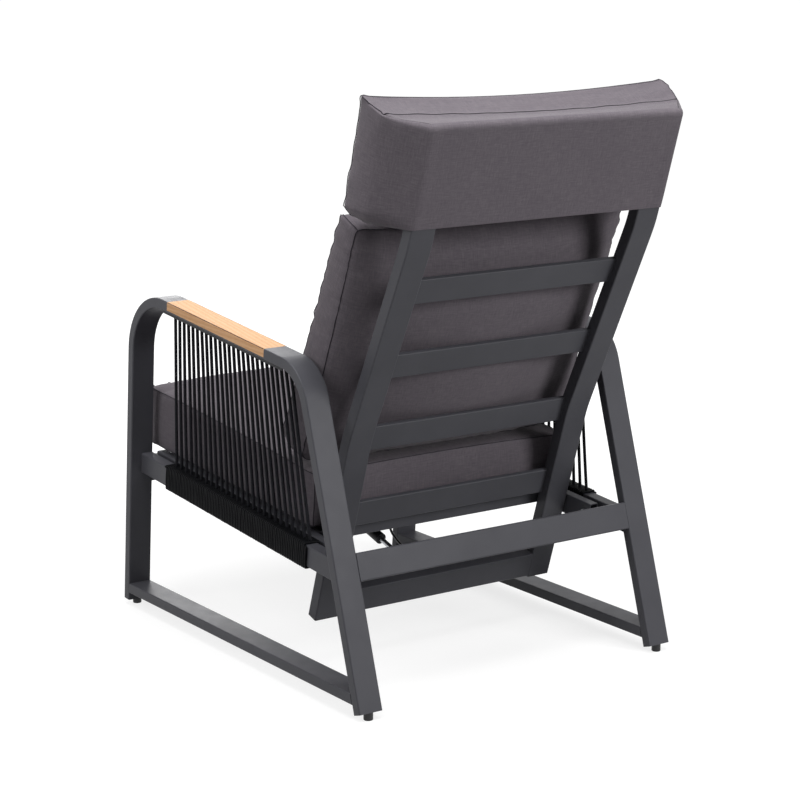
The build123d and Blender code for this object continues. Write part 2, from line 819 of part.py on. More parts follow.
def pin_slot():
    """The slot in the rod's eye, from the pin's rest place the way the pin drifts as the back reclines."""
    angle = radians(pin_travel_angle)
    down = spring_plane.y_dir
    drift = down * sin(angle) - spring_run * cos(angle)
    plane = Plane(origin=spring_end + drift * pin_travel / 2, x_dir=drift, z_dir=(1, 0, 0))
    slot = SlotCenterToCenter(pin_travel, spring_pin_diameter + 2 * pin_play)
    return extrude(plane * slot, eye_width, both=True)


def shaft_bar(diameter, low_x, high_x):
    at = beside_spring(0, spring_length - shaft_setback, shaft_rise).origin
    return rod_x(diameter, low_x, high_x, at.Y, at.Z)


def release_head():
    head = beside_spring(0, spring_length + (head_back - head_front) / 2, 0)
    head = head * Box(eye_width, head_height, head_front + head_back)
    head = fillet(head.edges().filter_by(Axis.X), head_corner)
    shaft_hole = shaft_bar(shaft_diameter + 2 * running_clearance, -eye_width, eye_width)
    return head - pin_slot() - shaft_hole


def cable_stop():
    """A bent strip from the rod's end to a tab beside the rod, where the cable's sheath ends."""
    rod_end = spring_length - head_front
    outer = stop_offset + bracket_plate / 2
    cross_width = outer + eye_width / 2
    cross = beside_spring(cross_width / 2 - outer, rod_end - bracket_plate / 2, -stop_drop)
    strip_length = rod_end - spring_length + stop_reach
    strip = beside_spring(-stop_offset, rod_end - strip_length / 2, -stop_drop)
    tab_across = -outer - stop_width / 2 + bracket_plate
    tab = beside_spring(tab_across, rod_end - strip_length + bracket_plate / 2, -stop_drop)
    shape = cross * Box(cross_width, stop_height, bracket_plate)
    shape += strip * Box(bracket_plate, stop_height, strip_length)
    shape += tab * Box(stop_width, stop_height, bracket_plate)
    rod_hole = spring_bar(rod_diameter, rod_end - 2 * bracket_plate, rod_end + bracket_plate)
    cable_hole = beside_spring(-cable_offset, spring_length - stop_reach, -cable_drop)
    return shape - rod_hole - cable_hole * Cylinder(ferrule_diameter / 2, 4 * bracket_plate)


def release_arm():
    """The arm that the wire pulls, on a shaft across the release head."""
    along = spring_length - shaft_setback
    low = -cable_offset - arm_thickness / 2
    arm = beside_spring(-cable_offset, along, shaft_rise - arm_length / 2)
    shape = arm * Box(arm_thickness, arm_length, arm_width)
    shape += shaft_bar(arm_hub, low, low + arm_thickness)
    shape += shaft_bar(shaft_diameter, low, eye_width / 2 + bracket_plate + ear_clearance / 2)
    return shape


def lever_axis():
    return lever_base().from_local_coords(Vector(0, 0, spring_front_reach))


def lever_base():
    """The lever bracket's seat on the front crossbar's rear face, with Z away from it."""
    at = front_bar_plane.from_local_coords(
        Vector(-lever_offset, loop_depth / 2, lever_height - front_crossbar_height)
    )
    return Plane(origin=at, x_dir=(1, 0, 0), z_dir=front_bar_plane.y_dir)


def release_lever():
    """A hub with a plate down from it and a wide finger plate forward under the crossbar."""
    axis = lever_axis()
    half_hub = eye_width / 2
    hub = rod_x(eye_diameter, -lever_offset - half_hub, -lever_offset + half_hub, axis.Y, axis.Z)
    pin_hole = rod_x(
        spring_pin_diameter + 2 * running_clearance, -lever_offset - lever_width, 0, axis.Y, axis.Z
    )
    drop = Pos(-lever_offset, axis.Y, axis.Z - lever_drop / 2) * Box(eye_width, lever_plate, lever_drop)
    low_z = axis.Z - lever_drop - lever_plate / 2
    front_y = axis.Y + lever_plate / 2 - lever_run
    finger = Pos(-lever_offset, front_y + lever_run / 2, low_z) * Box(lever_width, lever_run, lever_plate)
    finger = fillet(finger.edges().filter_by(Axis.Z), lever_plate)
    lip = Pos(-lever_offset, front_y + lever_plate / 2, low_z - lever_lip / 2)
    lip = lip * Box(lever_width - 2 * lever_plate, lever_plate, lever_lip)
    return hub + drop + finger + lip - pin_hole


def cable_ends():
    """Where the cable's sheath starts behind the lever and ends at the stop on the rod."""
    start = Vector(-lever_offset, hanger_setback + ferrule_length / 2, lever_axis().Z - wire_drop)
    end = beside_spring(-cable_offset, spring_length - stop_reach - ferrule_length / 2, -cable_drop).origin
    return start, end


def release_cable():
    """The sheath from the lever to the rod's stop, in an even bend across and down."""
    start, end = cable_ends()
    rearward = Vector(0, 1, 0)
    first = start + rearward * cable_lead
    last = end - spring_run * cable_lead
    reach = (last - first).length
    points = [start]
    for index in range(cable_points):
        t = index / (cable_points - 1)
        from_first = 1 - t * t * (3 - 2 * t)
        point = first * from_first + last * (1 - from_first)
        point += rearward * reach * t * (1 - t) * (1 - t) - spring_run * reach * t * t * (1 - t)
        points.append(point)
    points.append(end)
    radii = []
    for before, corner, after in zip(points, points[1:], points[2:]):
        turn = radians((corner - before).get_angle(after - corner))
        shorter = min((corner - before).length, (after - corner).length)
        radii.append(cable_arc_share * shorter / tan(turn / 2))
    print("cable radii", min(radii), "runs", min((b - a).length for a, b in zip(points, points[1:])))
    path = FilletPolyline(*points, radius=radii)
    plane = Plane(origin=path @ 0, z_dir=path % 0)
    return sweep(plane * Circle(cable_diameter / 2), path=path)


def build_release():
    start, end = cable_ends()
    axis = lever_axis()
    nodes["lever_bracket"] = clevis(lever_base())
    nodes["front_pins"] = joined([headed_pin(0, spring_start), headed_pin(-lever_offset, axis)])
    nodes["release_lever"] = release_lever()
    hanger_top = seat_top_z(hanger_setback) - seat_slat_thickness / cos(radians(seat_fall_angle))
    hanger_low = start.Z - ferrule_diameter
    plate = Box(hanger_width, bracket_plate, hanger_top - hanger_low)
    hanger = Pos(-lever_offset, hanger_setback, (hanger_top + hanger_low) / 2) * plate
    seat = tilted((-lever_offset, hanger_setback, hanger_top), -seat_fall_angle)
    hanger += seat * Pos(0, 0, -bracket_plate / 2) * Box(hanger_width, hanger_width, bracket_plate)
    over = Box(2 * hanger_width, 2 * hanger_width, hanger_width)
    hanger -= seat * Pos(0, 0, hanger_width / 2) * over
    front_ferrule = Pos(start.X, hanger_setback, start.Z) * Rot(90, 0, 0)
    bore = wire_diameter + 2 * running_clearance
    ferrule = Cylinder(ferrule_diameter / 2, ferrule_length) - Cylinder(bore / 2, ferrule_length)
    nodes["cable_hanger"] = hanger - front_ferrule * Cylinder(ferrule_diameter / 2, 4 * bracket_plate)
    nodes["front_ferrule"] = front_ferrule * ferrule
    stop = beside_spring(-cable_offset, spring_length - stop_reach, -cable_drop)
    nodes["rear_ferrule"] = stop * ferrule
    nodes["release_head"] = release_head()
    nodes["cable_stop"] = cable_stop()
    nodes["release_arm"] = release_arm()
    front_wire_start = Vector(start.X, axis.Y + lever_plate / 2, start.Z)
    rear_wire = spring_length - shaft_setback - arm_width / 2
    rear_wire_end = beside_spring(-cable_offset, rear_wire, -cable_drop).origin
    front_wire = rod_between(front_wire_start, start, wire_diameter)
    rear_wire = rod_between(end, rear_wire_end, wire_diameter)
    nodes["release_cable"] = joined([release_cable(), front_wire, rear_wire])


build_loops()
build_seat()
build_back()
build_spring()
build_release()

# The part stands on the floor with its box centred on the origin
box = Compound(children=list(nodes.values())).bounding_box()
middle_y = (box.min.Y + box.max.Y) / 2
for name, shape in nodes.items():
    moved = [Pos(0, -middle_y, 0) * piece for piece in shape.solids()]
    export_step(moved[0] if len(moved) == 1 else joined(moved), f"parts/{name}.step")
print("box", box.min, box.max, "middle", middle_y)
for label, at in (
    ("pivot", Vector(0, pivot_y, pivot_z)),
    ("spring front", spring_start),
    ("spring rear", spring_end),
    ("spring run", spring_run + Vector(0, middle_y, 0)),
    ("shaft", beside_spring(0, spring_length - shaft_setback, shaft_rise).origin),
    ("lever", lever_axis()),
):
    print(label, at.X, at.Y - middle_y, at.Z)
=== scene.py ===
import json
import math

import bpy
import numpy as np
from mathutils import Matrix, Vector
from mathutils.bvhtree import BVHTree


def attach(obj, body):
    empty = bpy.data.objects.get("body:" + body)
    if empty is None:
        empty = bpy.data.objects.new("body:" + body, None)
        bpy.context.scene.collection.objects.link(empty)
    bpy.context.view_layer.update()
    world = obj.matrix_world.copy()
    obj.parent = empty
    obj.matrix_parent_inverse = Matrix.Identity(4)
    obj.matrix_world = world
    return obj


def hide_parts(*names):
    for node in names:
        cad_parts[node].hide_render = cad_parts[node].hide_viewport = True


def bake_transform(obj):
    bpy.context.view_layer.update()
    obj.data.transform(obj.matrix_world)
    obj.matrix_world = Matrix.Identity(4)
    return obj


# A reclining garden armchair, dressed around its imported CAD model. Metres, X across, the sitter faces -Y.

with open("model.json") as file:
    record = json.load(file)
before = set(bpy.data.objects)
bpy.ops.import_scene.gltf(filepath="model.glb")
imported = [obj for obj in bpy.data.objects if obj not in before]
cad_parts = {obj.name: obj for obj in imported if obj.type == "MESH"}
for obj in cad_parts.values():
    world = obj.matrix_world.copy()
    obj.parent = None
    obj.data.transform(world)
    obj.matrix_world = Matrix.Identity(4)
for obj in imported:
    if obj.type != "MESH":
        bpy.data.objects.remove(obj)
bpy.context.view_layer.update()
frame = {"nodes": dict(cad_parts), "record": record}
nodes = frame["nodes"]
scene = bpy.context.scene
rng = np.random.default_rng(7)

# Places read off the CAD
seat_origin = np.array((0.0, -0.466626, 0.318339))
seat_along = np.array((0.0, 0.996779, -0.080199))
seat_up = np.array((0.0, 0.080199, 0.996779))
back_origin = np.array((0.0, 0.173674, 0.369880))
back_along = np.array((0.0, 0.439939, 0.898028))
back_forward = np.array((0.0, -0.898028, 0.439939))
shoulder = np.array((0.0, 0.394084, 0.819792))
top_lean = math.radians(17.2)
top_up = np.array((0.0, math.sin(top_lean), math.cos(top_lean)))
top_rear = np.array((0.0, math.cos(top_lean), -math.sin(top_lean)))
spring_run = np.array((0.0, 0.961459, -0.274947))
cable_start = np.array((-0.205, -0.373626, 0.247134))
cable_end = np.array((-0.036, -0.036035, 0.149997))


def srgb(*levels):
    """A colour as it looks on a screen, 0 to 255, in linear light."""
    shares = [level / 255 for level in levels]
    return (*(v / 12.92 if v <= 0.04045 else ((v + 0.055) / 1.055) ** 2.4 for v in shares), 1.0)


# Materials


class Nodes:
    """A material's node tree, with short words for the nodes that this scene uses."""

    def __init__(self, name, roughness, metallic=0.0, specular=0.5):
        self.material = bpy.data.materials.new(name)
        self.material.use_nodes = True
        self.tree = self.material.node_tree
        self.shader = self.tree.nodes["Principled BSDF"]
        self.shader.inputs["Metallic"].default_value = metallic
        self.shader.inputs["Roughness"].default_value = roughness
        self.shader.inputs["Specular IOR Level"].default_value = specular

    def add(self, kind, **values):
        node = self.tree.nodes.new(kind)
        for key, value in values.items():
            setattr(node, key, value)
        return node

    def link(self, output, target):
        self.tree.links.new(output, target)

    def place(self, scale, uv=None):
        """Coordinates in metres, from the object or from a UV layer, stretched by scale."""
        if uv:
            source = self.add("ShaderNodeUVMap", uv_map=uv).outputs["UV"]
        else:
            source = self.add("ShaderNodeTexCoord").outputs["Object"]
        mapping = self.add("ShaderNodeMapping")
        mapping.inputs["Scale"].default_value = scale
        self.link(source, mapping.inputs["Vector"])
        return mapping.outputs["Vector"]

    def noise(self, scale, detail=3.0, roughness=0.5, uv=None, distortion=0.0):
        node = self.add("ShaderNodeTexNoise")
        node.inputs["Scale"].default_value = 1.0
        node.inputs["Detail"].default_value = detail
        node.inputs["Roughness"].default_value = roughness
        node.inputs["Distortion"].default_value = distortion
        self.link(self.place(scale, uv), node.inputs["Vector"])
        return node.outputs["Fac"]

    def wave(self, scale, direction, uv=None, distortion=0.0):
        node = self.add("ShaderNodeTexWave", wave_type="BANDS", bands_direction=direction)
        node.inputs["Scale"].default_value = 1.0
        node.inputs["Distortion"].default_value = distortion
        self.link(self.place(scale, uv), node.inputs["Vector"])
        return node.outputs["Fac"]

    def maths(self, operation, first, second):
        node = self.add("ShaderNodeMath", operation=operation)
        for socket, value in zip(node.inputs, (first, second)):
            if isinstance(value, (int, float)):
                socket.default_value = value
            else:
                self.link(value, socket)
        return node.outputs["Value"]

    def ramp(self, factor, stops):
        node = self.add("ShaderNodeValToRGB")
        ramp = node.color_ramp
        while len(ramp.elements) < len(stops):
            ramp.elements.new(0.5)
        for element, (position, colour) in zip(ramp.elements, stops):
            element.position = position
            element.color = colour
        self.link(factor, node.inputs["Fac"])
        return node.outputs["Color"]

    def spread(self, factor, low, high):
        """A factor stretched from 0..1 to low..high."""
        node = self.add("ShaderNodeMapRange")
        node.inputs["To Min"].default_value = low
        node.inputs["To Max"].default_value = high
        self.link(factor, node.inputs["Value"])
        return node.outputs["Result"]

    def colour(self, output):
        self.link(output, self.shader.inputs["Base Color"])

    def rough(self, output):
        self.link(output, self.shader.inputs["Roughness"])

    def bump(self, height, distance, strength=1.0):
        node = self.add("ShaderNodeBump")
        node.inputs["Distance"].default_value = distance
        node.inputs["Strength"].default_value = strength
        self.link(height, node.inputs["Height"])
        previous = self.shader.inputs["Normal"]
        if previous.is_linked:
            self.link(previous.links[0].from_socket, node.inputs["Normal"])
        self.link(node.outputs["Normal"], previous)


def powder_coat(name, dark, light, roughness):
    """Matt powder coat with its fine grain and faint cloudiness."""
    m = Nodes(name, roughness, specular=0.16)
    m.colour(m.ramp(m.noise((9, 9, 9), 4), ((0.3, dark), (0.7, light))))
    m.rough(m.spread(m.noise((40, 40, 40), 3), roughness - 0.06, roughness + 0.08))
    m.bump(m.noise((1500, 1500, 1500), 2), 0.00006, 0.5)
    return m.material


def wood(name):
    """Planed and oiled teak, with its grain along Y."""
    m = Nodes(name, 0.55, specular=0.12)
    rings = m.wave((62, 2.4, 74), "DIAGONAL", distortion=3.2)
    figure = m.noise((120, 3.2, 120), 5, 0.62, distortion=0.4)
    pores = m.noise((1500, 42, 1500), 2, 0.5)
    grain = m.maths("ADD", m.maths("MULTIPLY", rings, 0.35), m.maths("MULTIPLY", figure, 0.65))
    dark, middle, light = srgb(196, 151, 110), srgb(208, 164, 123), srgb(216, 174, 134)
    base = m.ramp(grain, ((0.22, dark), (0.5, middle), (0.8, light)))
    streak = m.ramp(pores, ((0.34, srgb(190, 132, 84)), (0.44, (1, 1, 1, 1))))
    mix = m.add("ShaderNodeMix", data_type="RGBA", blend_type="MULTIPLY")
    mix.inputs["Factor"].default_value = 0.32
    m.link(base, mix.inputs["A"])
    m.link(streak, mix.inputs["B"])
    m.colour(mix.outputs["Result"])
    m.rough(m.spread(figure, 0.5, 0.68))
    m.bump(pores, 0.00012, 0.5)
    m.bump(rings, 0.00008, 0.4)
    return m.material


def cloth(name, dark, middle, light, uv="cloth"):
    """Woven outdoor cloth: two sets of slubbed threads, with melange and a soft sheen."""
    m = Nodes(name, 0.92, specular=0.12)
    weft = m.noise((60, 1100, 1), 3, 0.6, uv)
    warp = m.noise((1100, 75, 1), 3, 0.6, uv)
    slubs = m.maths("ADD", m.noise((34, 330, 1), 2, 0.5, uv), m.noise((330, 40, 1), 2, 0.5, uv))
    cloud = m.noise((9, 9, 1), 2, 0.5, uv)
    threads = m.maths("ADD", m.maths("MULTIPLY", weft, 0.5), m.maths("MULTIPLY", warp, 0.5))
    tone = m.maths("ADD", m.maths("MULTIPLY", threads, 0.62), m.maths("MULTIPLY", slubs, 0.15))
    tone = m.maths("ADD", tone, m.maths("MULTIPLY", cloud, 0.08))
    m.colour(m.ramp(tone, ((0.38, dark), (0.5, middle), (0.62, light))))
    over = m.wave((520, 1, 1), "X", uv)
    under = m.wave((1, 520, 1), "Y", uv)
    m.bump(m.maths("MULTIPLY", over, under), 0.0002, 0.4)
    m.bump(threads, 0.00016, 0.35)
    m.shader.inputs["Sheen Weight"].default_value = 0.12
    m.shader.inputs["Sheen Roughness"].default_value = 0.45
    return m.material


def rope_cover(name, dark, light):
    """Braided polypropylene: short glossy filaments on a near-black cord."""
    m = Nodes(name, 0.6, specular=0.05)
    fibres = m.noise((900, 900, 260), 3, 0.6)
    m.colour(m.ramp(fibres, ((0.35, dark), (0.68, light))))
    m.rough(m.spread(fibres, 0.36, 0.62))
    m.bump(fibres, 0.00025, 0.6)
    return m.material


def plastic(name, dark, light, roughness):
    m = Nodes(name, roughness, specular=0.4)
    m.colour(m.ramp(m.noise((25, 25, 25), 4), ((0.35, dark), (0.65, light))))
    m.rough(m.spread(m.noise((120, 120, 120), 3), roughness - 0.07, roughness + 0.1))
    m.bump(m.noise((2200, 2200, 2200), 2), 0.00004, 0.6)
    return m.material


def steel(name, dark, light, roughness, lengthwise=(700, 12, 700)):
    """Ground or plated steel with fine drawing lines."""
    m = Nodes(name, roughness, metallic=1.0)
    lines = m.noise(lengthwise, 3, 0.6)
    m.colour(m.ramp(lines, ((0.3, dark), (0.7, light))))
    m.rough(m.spread(lines, roughness - 0.06, roughness + 0.12))
    m.bump(lines, 0.00003, 0.5)
    return m.material


paint = powder_coat("anthracite_powder_coat", srgb(65, 65, 70), srgb(71, 71, 76), 0.42)
dark_paint = powder_coat("black_powder_coat", srgb(26, 26, 29), srgb(34, 34, 37), 0.42)
teak = wood("oiled_teak")
cushion_cloth = cloth("charcoal_weave", srgb(87, 82, 88), srgb(98, 92, 98), srgb(110, 104, 109))
seam_cloth = cloth("charcoal_seam", srgb(40, 38, 43), srgb(52, 49, 55), srgb(66, 62, 69), None)
rope_black = rope_cover("black_braid", srgb(12, 12, 14), srgb(38, 38, 43))
wrap_black = rope_cover("black_wrap_braid", srgb(5, 5, 7), srgb(17, 18, 20))
black_plastic = plastic("black_nylon", srgb(20, 20, 22), srgb(30, 30, 32), 0.45)
sheath_plastic = plastic("black_sheath", srgb(17, 17, 19), srgb(25, 25, 28), 0.35)
# painted shade: dark teak brown for the shade line along the pads' top edges
painted_edge_shade = plastic("painted_pad_edge_shade", srgb(58, 36, 26), srgb(80, 52, 36), 0.6)
bright_steel = steel("ground_steel", srgb(168, 170, 174), srgb(205, 207, 210), 0.24)
zinc_steel = steel("zinc_plate", srgb(120, 122, 126), srgb(160, 162, 166), 0.34, (300, 300, 300))

by_slot = {
    "frame_paint": paint,
    "teak": teak,
    "rope": rope_black,
    "cushion_cloth": cushion_cloth,
    "black_plastic": black_plastic,
    "cable_sheath": sheath_plastic,
    "bright_steel": bright_steel,
    "black_steel": dark_paint,
}
slots = {part["node"]: part["material_slot"] for part in frame["record"]["subparts"]}
zinc_nodes = ("pivot_bolts", "seat_bolts", "front_pins", "release_arm")

for name, node in nodes.items():
    node.data.materials.clear()
    node.data.materials.append(zinc_steel if name in zinc_nodes else by_slot[slots[name]])


# Mesh helpers


def mesh_object(name, points, faces, material, uvs=None, smooth=True):
    """A mesh object; uvs is one (u, v) per face corner, in metres."""
    mesh = bpy.data.meshes.new(name)
    mesh.from_pydata([tuple(p) for p in points], [], faces)
    mesh.materials.append(material)
    if uvs is not None:
        layer = mesh.uv_layers.new(name="cloth")
        layer.data.foreach_set("uv", np.array(uvs, np.float32).ravel())
    if smooth:
        mesh.polygons.foreach_set("use_smooth", [True] * len(mesh.polygons))
    mesh.validate()
    mesh.update()
    made = bpy.data.objects.new(name, mesh)
    scene.collection.objects.link(made)
    return made


def point_rows(mesh, key="co"):
    """The place or the normal of each of a mesh's points."""
    rows = np.zeros(len(mesh.vertices) * 3)
    mesh.vertices.foreach_get(key, rows)
    return rows.reshape(-1, 3)


def coordinates(made):
    return point_rows(made.data)


def set_coordinates(made, co):
    made.data.vertices.foreach_set("co", np.asarray(co, np.float32).ravel())
    made.data.update()


def normals(made):
    return point_rows(made.data, "normal")


def units(rows):
    """Each row of some vectors at length 1."""
    return rows / np.linalg.norm(rows, axis=1)[:, None]


def walked(points, closed=False):
    """The way from a line's first point to each of its points, and back to the first if it is closed."""
    steps = np.roll(points, -1, 0) - points if closed else np.diff(points, axis=0)
    return np.concatenate([[0], np.cumsum(np.linalg.norm(steps, axis=1))])


def frames_along(points, closed=False):
    """Two vectors across a line at each of its points, turning as little as they can."""
    pts = np.asarray(points)
    ahead = np.roll(pts, -1, 0) if closed else np.vstack([pts[1:], 2 * pts[-1] - pts[-2]])
    behind = np.roll(pts, 1, 0) if closed else np.vstack([2 * pts[0] - pts[1], pts[:-1]])
    tangent = units(ahead - behind)
    last = np.array((1.0, 0.0, 0.0)) if abs(tangent[0][0]) < 0.8 else np.array((0.0, 0.0, 1.0))
    across = []
    for t in tangent:
        last = last - t * (last @ t)
        last = last / np.linalg.norm(last)
        across.append(last)
    across = np.array(across)
    return across, np.cross(tangent, across)


def tube_faces(count, sides, closed=False):
    """The faces of a tube made of count rings, each of some sides, with its ends shut if it is open."""
    faces = []
    for i in range(count if closed else count - 1):
        j = (i + 1) % count
        for k in range(sides):
            l = (k + 1) % sides
            faces.append((i * sides + k, i * sides + l, j * sides + l, j * sides + k))
    if not closed:
        faces.append(tuple(range(sides - 1, -1, -1)))
        faces.append(tuple((count - 1) * sides + k for k in range(sides)))
    return faces


def turned_over(faces):
    """The faces of a mirrored mesh, so that they still look outward."""
    return [face[::-1] for face in faces]


def tube_data(points, radius, sides=8, closed=False):
    """Points and faces of a tube; radius is a number or one row of radii per point and side."""
    pts = np.asarray(points)
    across, up = frames_along(pts, closed)
    angles = np.arange(sides) * 2 * math.pi / sides
    radii = np.broadcast_to(np.asarray(radius, float), (len(pts), sides))
    ring = across[:, None, :] * np.cos(angles)[None, :, None] + up[:, None, :] * np.sin(angles)[None, :, None]
    made = (pts[:, None, :] + ring * radii[:, :, None]).reshape(-1, 3)
    return made, tube_faces(len(pts), sides, closed)


def joined(parts):
    """Several (points, faces) as one."""
    points = []
    faces = []
    offset = 0
    for pts, fcs in parts:
        points.append(pts)
        faces += [tuple(i + offset for i in f) for f in fcs]
        offset += len(pts)
    return np.vstack(points), faces


# Cloth
cushion_pressure = 4.0
cloth_frames = 20
fold_waves = 7
fold_pitches = (0.6, 1.9)
fold_heights = (0.3, 1.0)
fold_phases = (0, 6.28)
fold_start = 0.2
points_at_once = 4000
groove_depth = 0.0013
groove_reach = 0.0032
seam_lift = 0.0002
seam_sides = 6


def inflate(made, pins, limit, seams):
    """Swells a closed mesh with Blender's cloth by less than limit, except at its pins and seams."""
    rest = coordinates(made)
    for loop in seams:
        pins[loop] = True
    made.vertex_groups.new(name="pin").add([int(i) for i in np.flatnonzero(pins)], 1.0, "REPLACE")
    modifier = made.modifiers.new("swell", "CLOTH")
    settings = modifier.settings
    settings.quality = 6
    settings.mass = 0.25
    settings.tension_stiffness = 18
    settings.compression_stiffness = 18
    settings.shear_stiffness = 6
    settings.bending_stiffness = 0.6
    settings.vertex_group_mass = "pin"
    settings.use_pressure = True
    settings.uniform_pressure_force = cushion_pressure
    settings.effector_weights.gravity = 0
    modifier.collision_settings.use_collision = False
    modifier.point_cache.frame_start = 1
    modifier.point_cache.frame_end = cloth_frames
    for step in range(1, cloth_frames + 1):
        scene.frame_set(step)
    graph = bpy.context.evaluated_depsgraph_get()
    swollen = made.evaluated_get(graph).to_mesh()
    moved = point_rows(swollen) - rest
    made.modifiers.remove(modifier)
    made.vertex_groups.clear()
    scene.frame_set(1)
    far = np.linalg.norm(moved, axis=1)[:, None]
    moved = moved * np.tanh(far / limit) * limit / np.maximum(far, 1e-9)
    set_coordinates(made, rest + moved)


def hold_inside(made, node_name, allowed):
    """Pulls points back that stand further out of a CAD solid than allowed(point, normal) says."""
    mesh = nodes[node_name].data
    tree = BVHTree.FromPolygons([v.co for v in mesh.vertices], [list(p.vertices) for p in mesh.polygons])
    co = coordinates(made)
    for i, p in enumerate(co):
        near, normal, _, _ = tree.find_nearest(Vector(p))
        out = (Vector(p) - near).dot(normal)
        room = allowed(p, normal)
        if out > room:
            co[i] = p - np.array(normal) * (out - room)
    set_coordinates(made, co)


def subdivided(made):
    """Gives an object's mesh one subdivision."""
    modifier = made.modifiers.new("finer", "SUBSURF")
    modifier.levels = 1
    modifier.render_levels = 1
    graph = bpy.context.evaluated_depsgraph_get()
    finer = bpy.data.meshes.new_from_object(made.evaluated_get(graph))
    made.modifiers.clear()
    made.data = finer
    finer.polygons.foreach_set("use_smooth", [True] * len(finer.polygons))


def puckers(made, seams, depth, reach, pitch, seed):
    """Small folds that run out from the seams, and a shallow groove along each."""
    co = coordinates(made)
    no = normals(made)
    moved = np.zeros(len(co))
    local = np.random.default_rng(seed)
    for loop in seams:
        line = co[loop]
        walk = walked(line, closed=True)
        along, total = walk[:-1], walk[-1]
        wave = np.zeros(len(line))
        for _ in range(fold_waves):
            turns = max(3, round(total / (pitch * local.uniform(*fold_pitches))))
            height = local.uniform(*fold_heights)
            wave += height * np.cos(2 * math.pi * turns * along / total + local.uniform(*fold_phases))
        wave /= np.abs(wave).max()
        for start in range(0, len(co), points_at_once):
            part = co[start:start + points_at_once]
            distance = np.linalg.norm(part[:, None, :] - line[None, :, :], axis=2)
            nearest = distance.argmin(1)
            d = distance[np.arange(len(part)), nearest]
            fold = depth * wave[nearest] * np.exp(-((d - fold_start * reach) / reach) ** 2)
            groove = -groove_depth * np.exp(-(d / groove_reach) ** 2)
            moved[start:start + points_at_once] += fold + groove
    set_coordinates(made, co + no * moved[:, None])


def sewn_edge(name, made, line, body, radius=0.0008, closed=False):
    """The sewn edge along a line of a piece's points, as a thin dark roll that lies in the groove."""
    path = coordinates(made)[line] + normals(made)[line] * seam_lift
    points, faces = tube_data(path, radius, seam_sides, closed)
    piece = mesh_object(name, points, faces, seam_cloth)
    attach(piece, body)


# Box cushions
even_share = 0.45
crowded_share = 0.55
plan_power = 44
dome_power = 2.3
hang_power = 2.6
hang_fullness = 0.7
end_flatness = 0.8
end_power = 5
corner_start = 1.55
corner_span = 0.45
corner_pinch = 0.0015
gusset_swell = 0.004
lower_cloth_shift = 1.3
cushion_swell_limit = 0.010
pucker_reach = 0.022
pucker_pitch = 0.034
piping_radius = 0.0009
resting_room = -0.0002
seat_side_room = 0.0065
seat_front_room = 0.013
seat_top_room = 0.008
back_side_room = 0.005
back_front_room = 0.011
back_rear_room = 0.012
back_rear_share = 0.4
back_rests_below = 0.030


def eased(q):
    """A share from 0 to 1 that starts and ends slowly."""
    return 0.5 - 0.5 * math.cos(math.pi * q)


def plan_loop(n):
    """The edge of an n by n grid in order, as (i, j) pairs."""
    loop = [(i, 0) for i in range(n)] + [(n, j) for j in range(n)]
    loop += [(i, n) for i in range(n, 0, -1)] + [(0, j) for j in range(n, 0, -1)]
    return loop


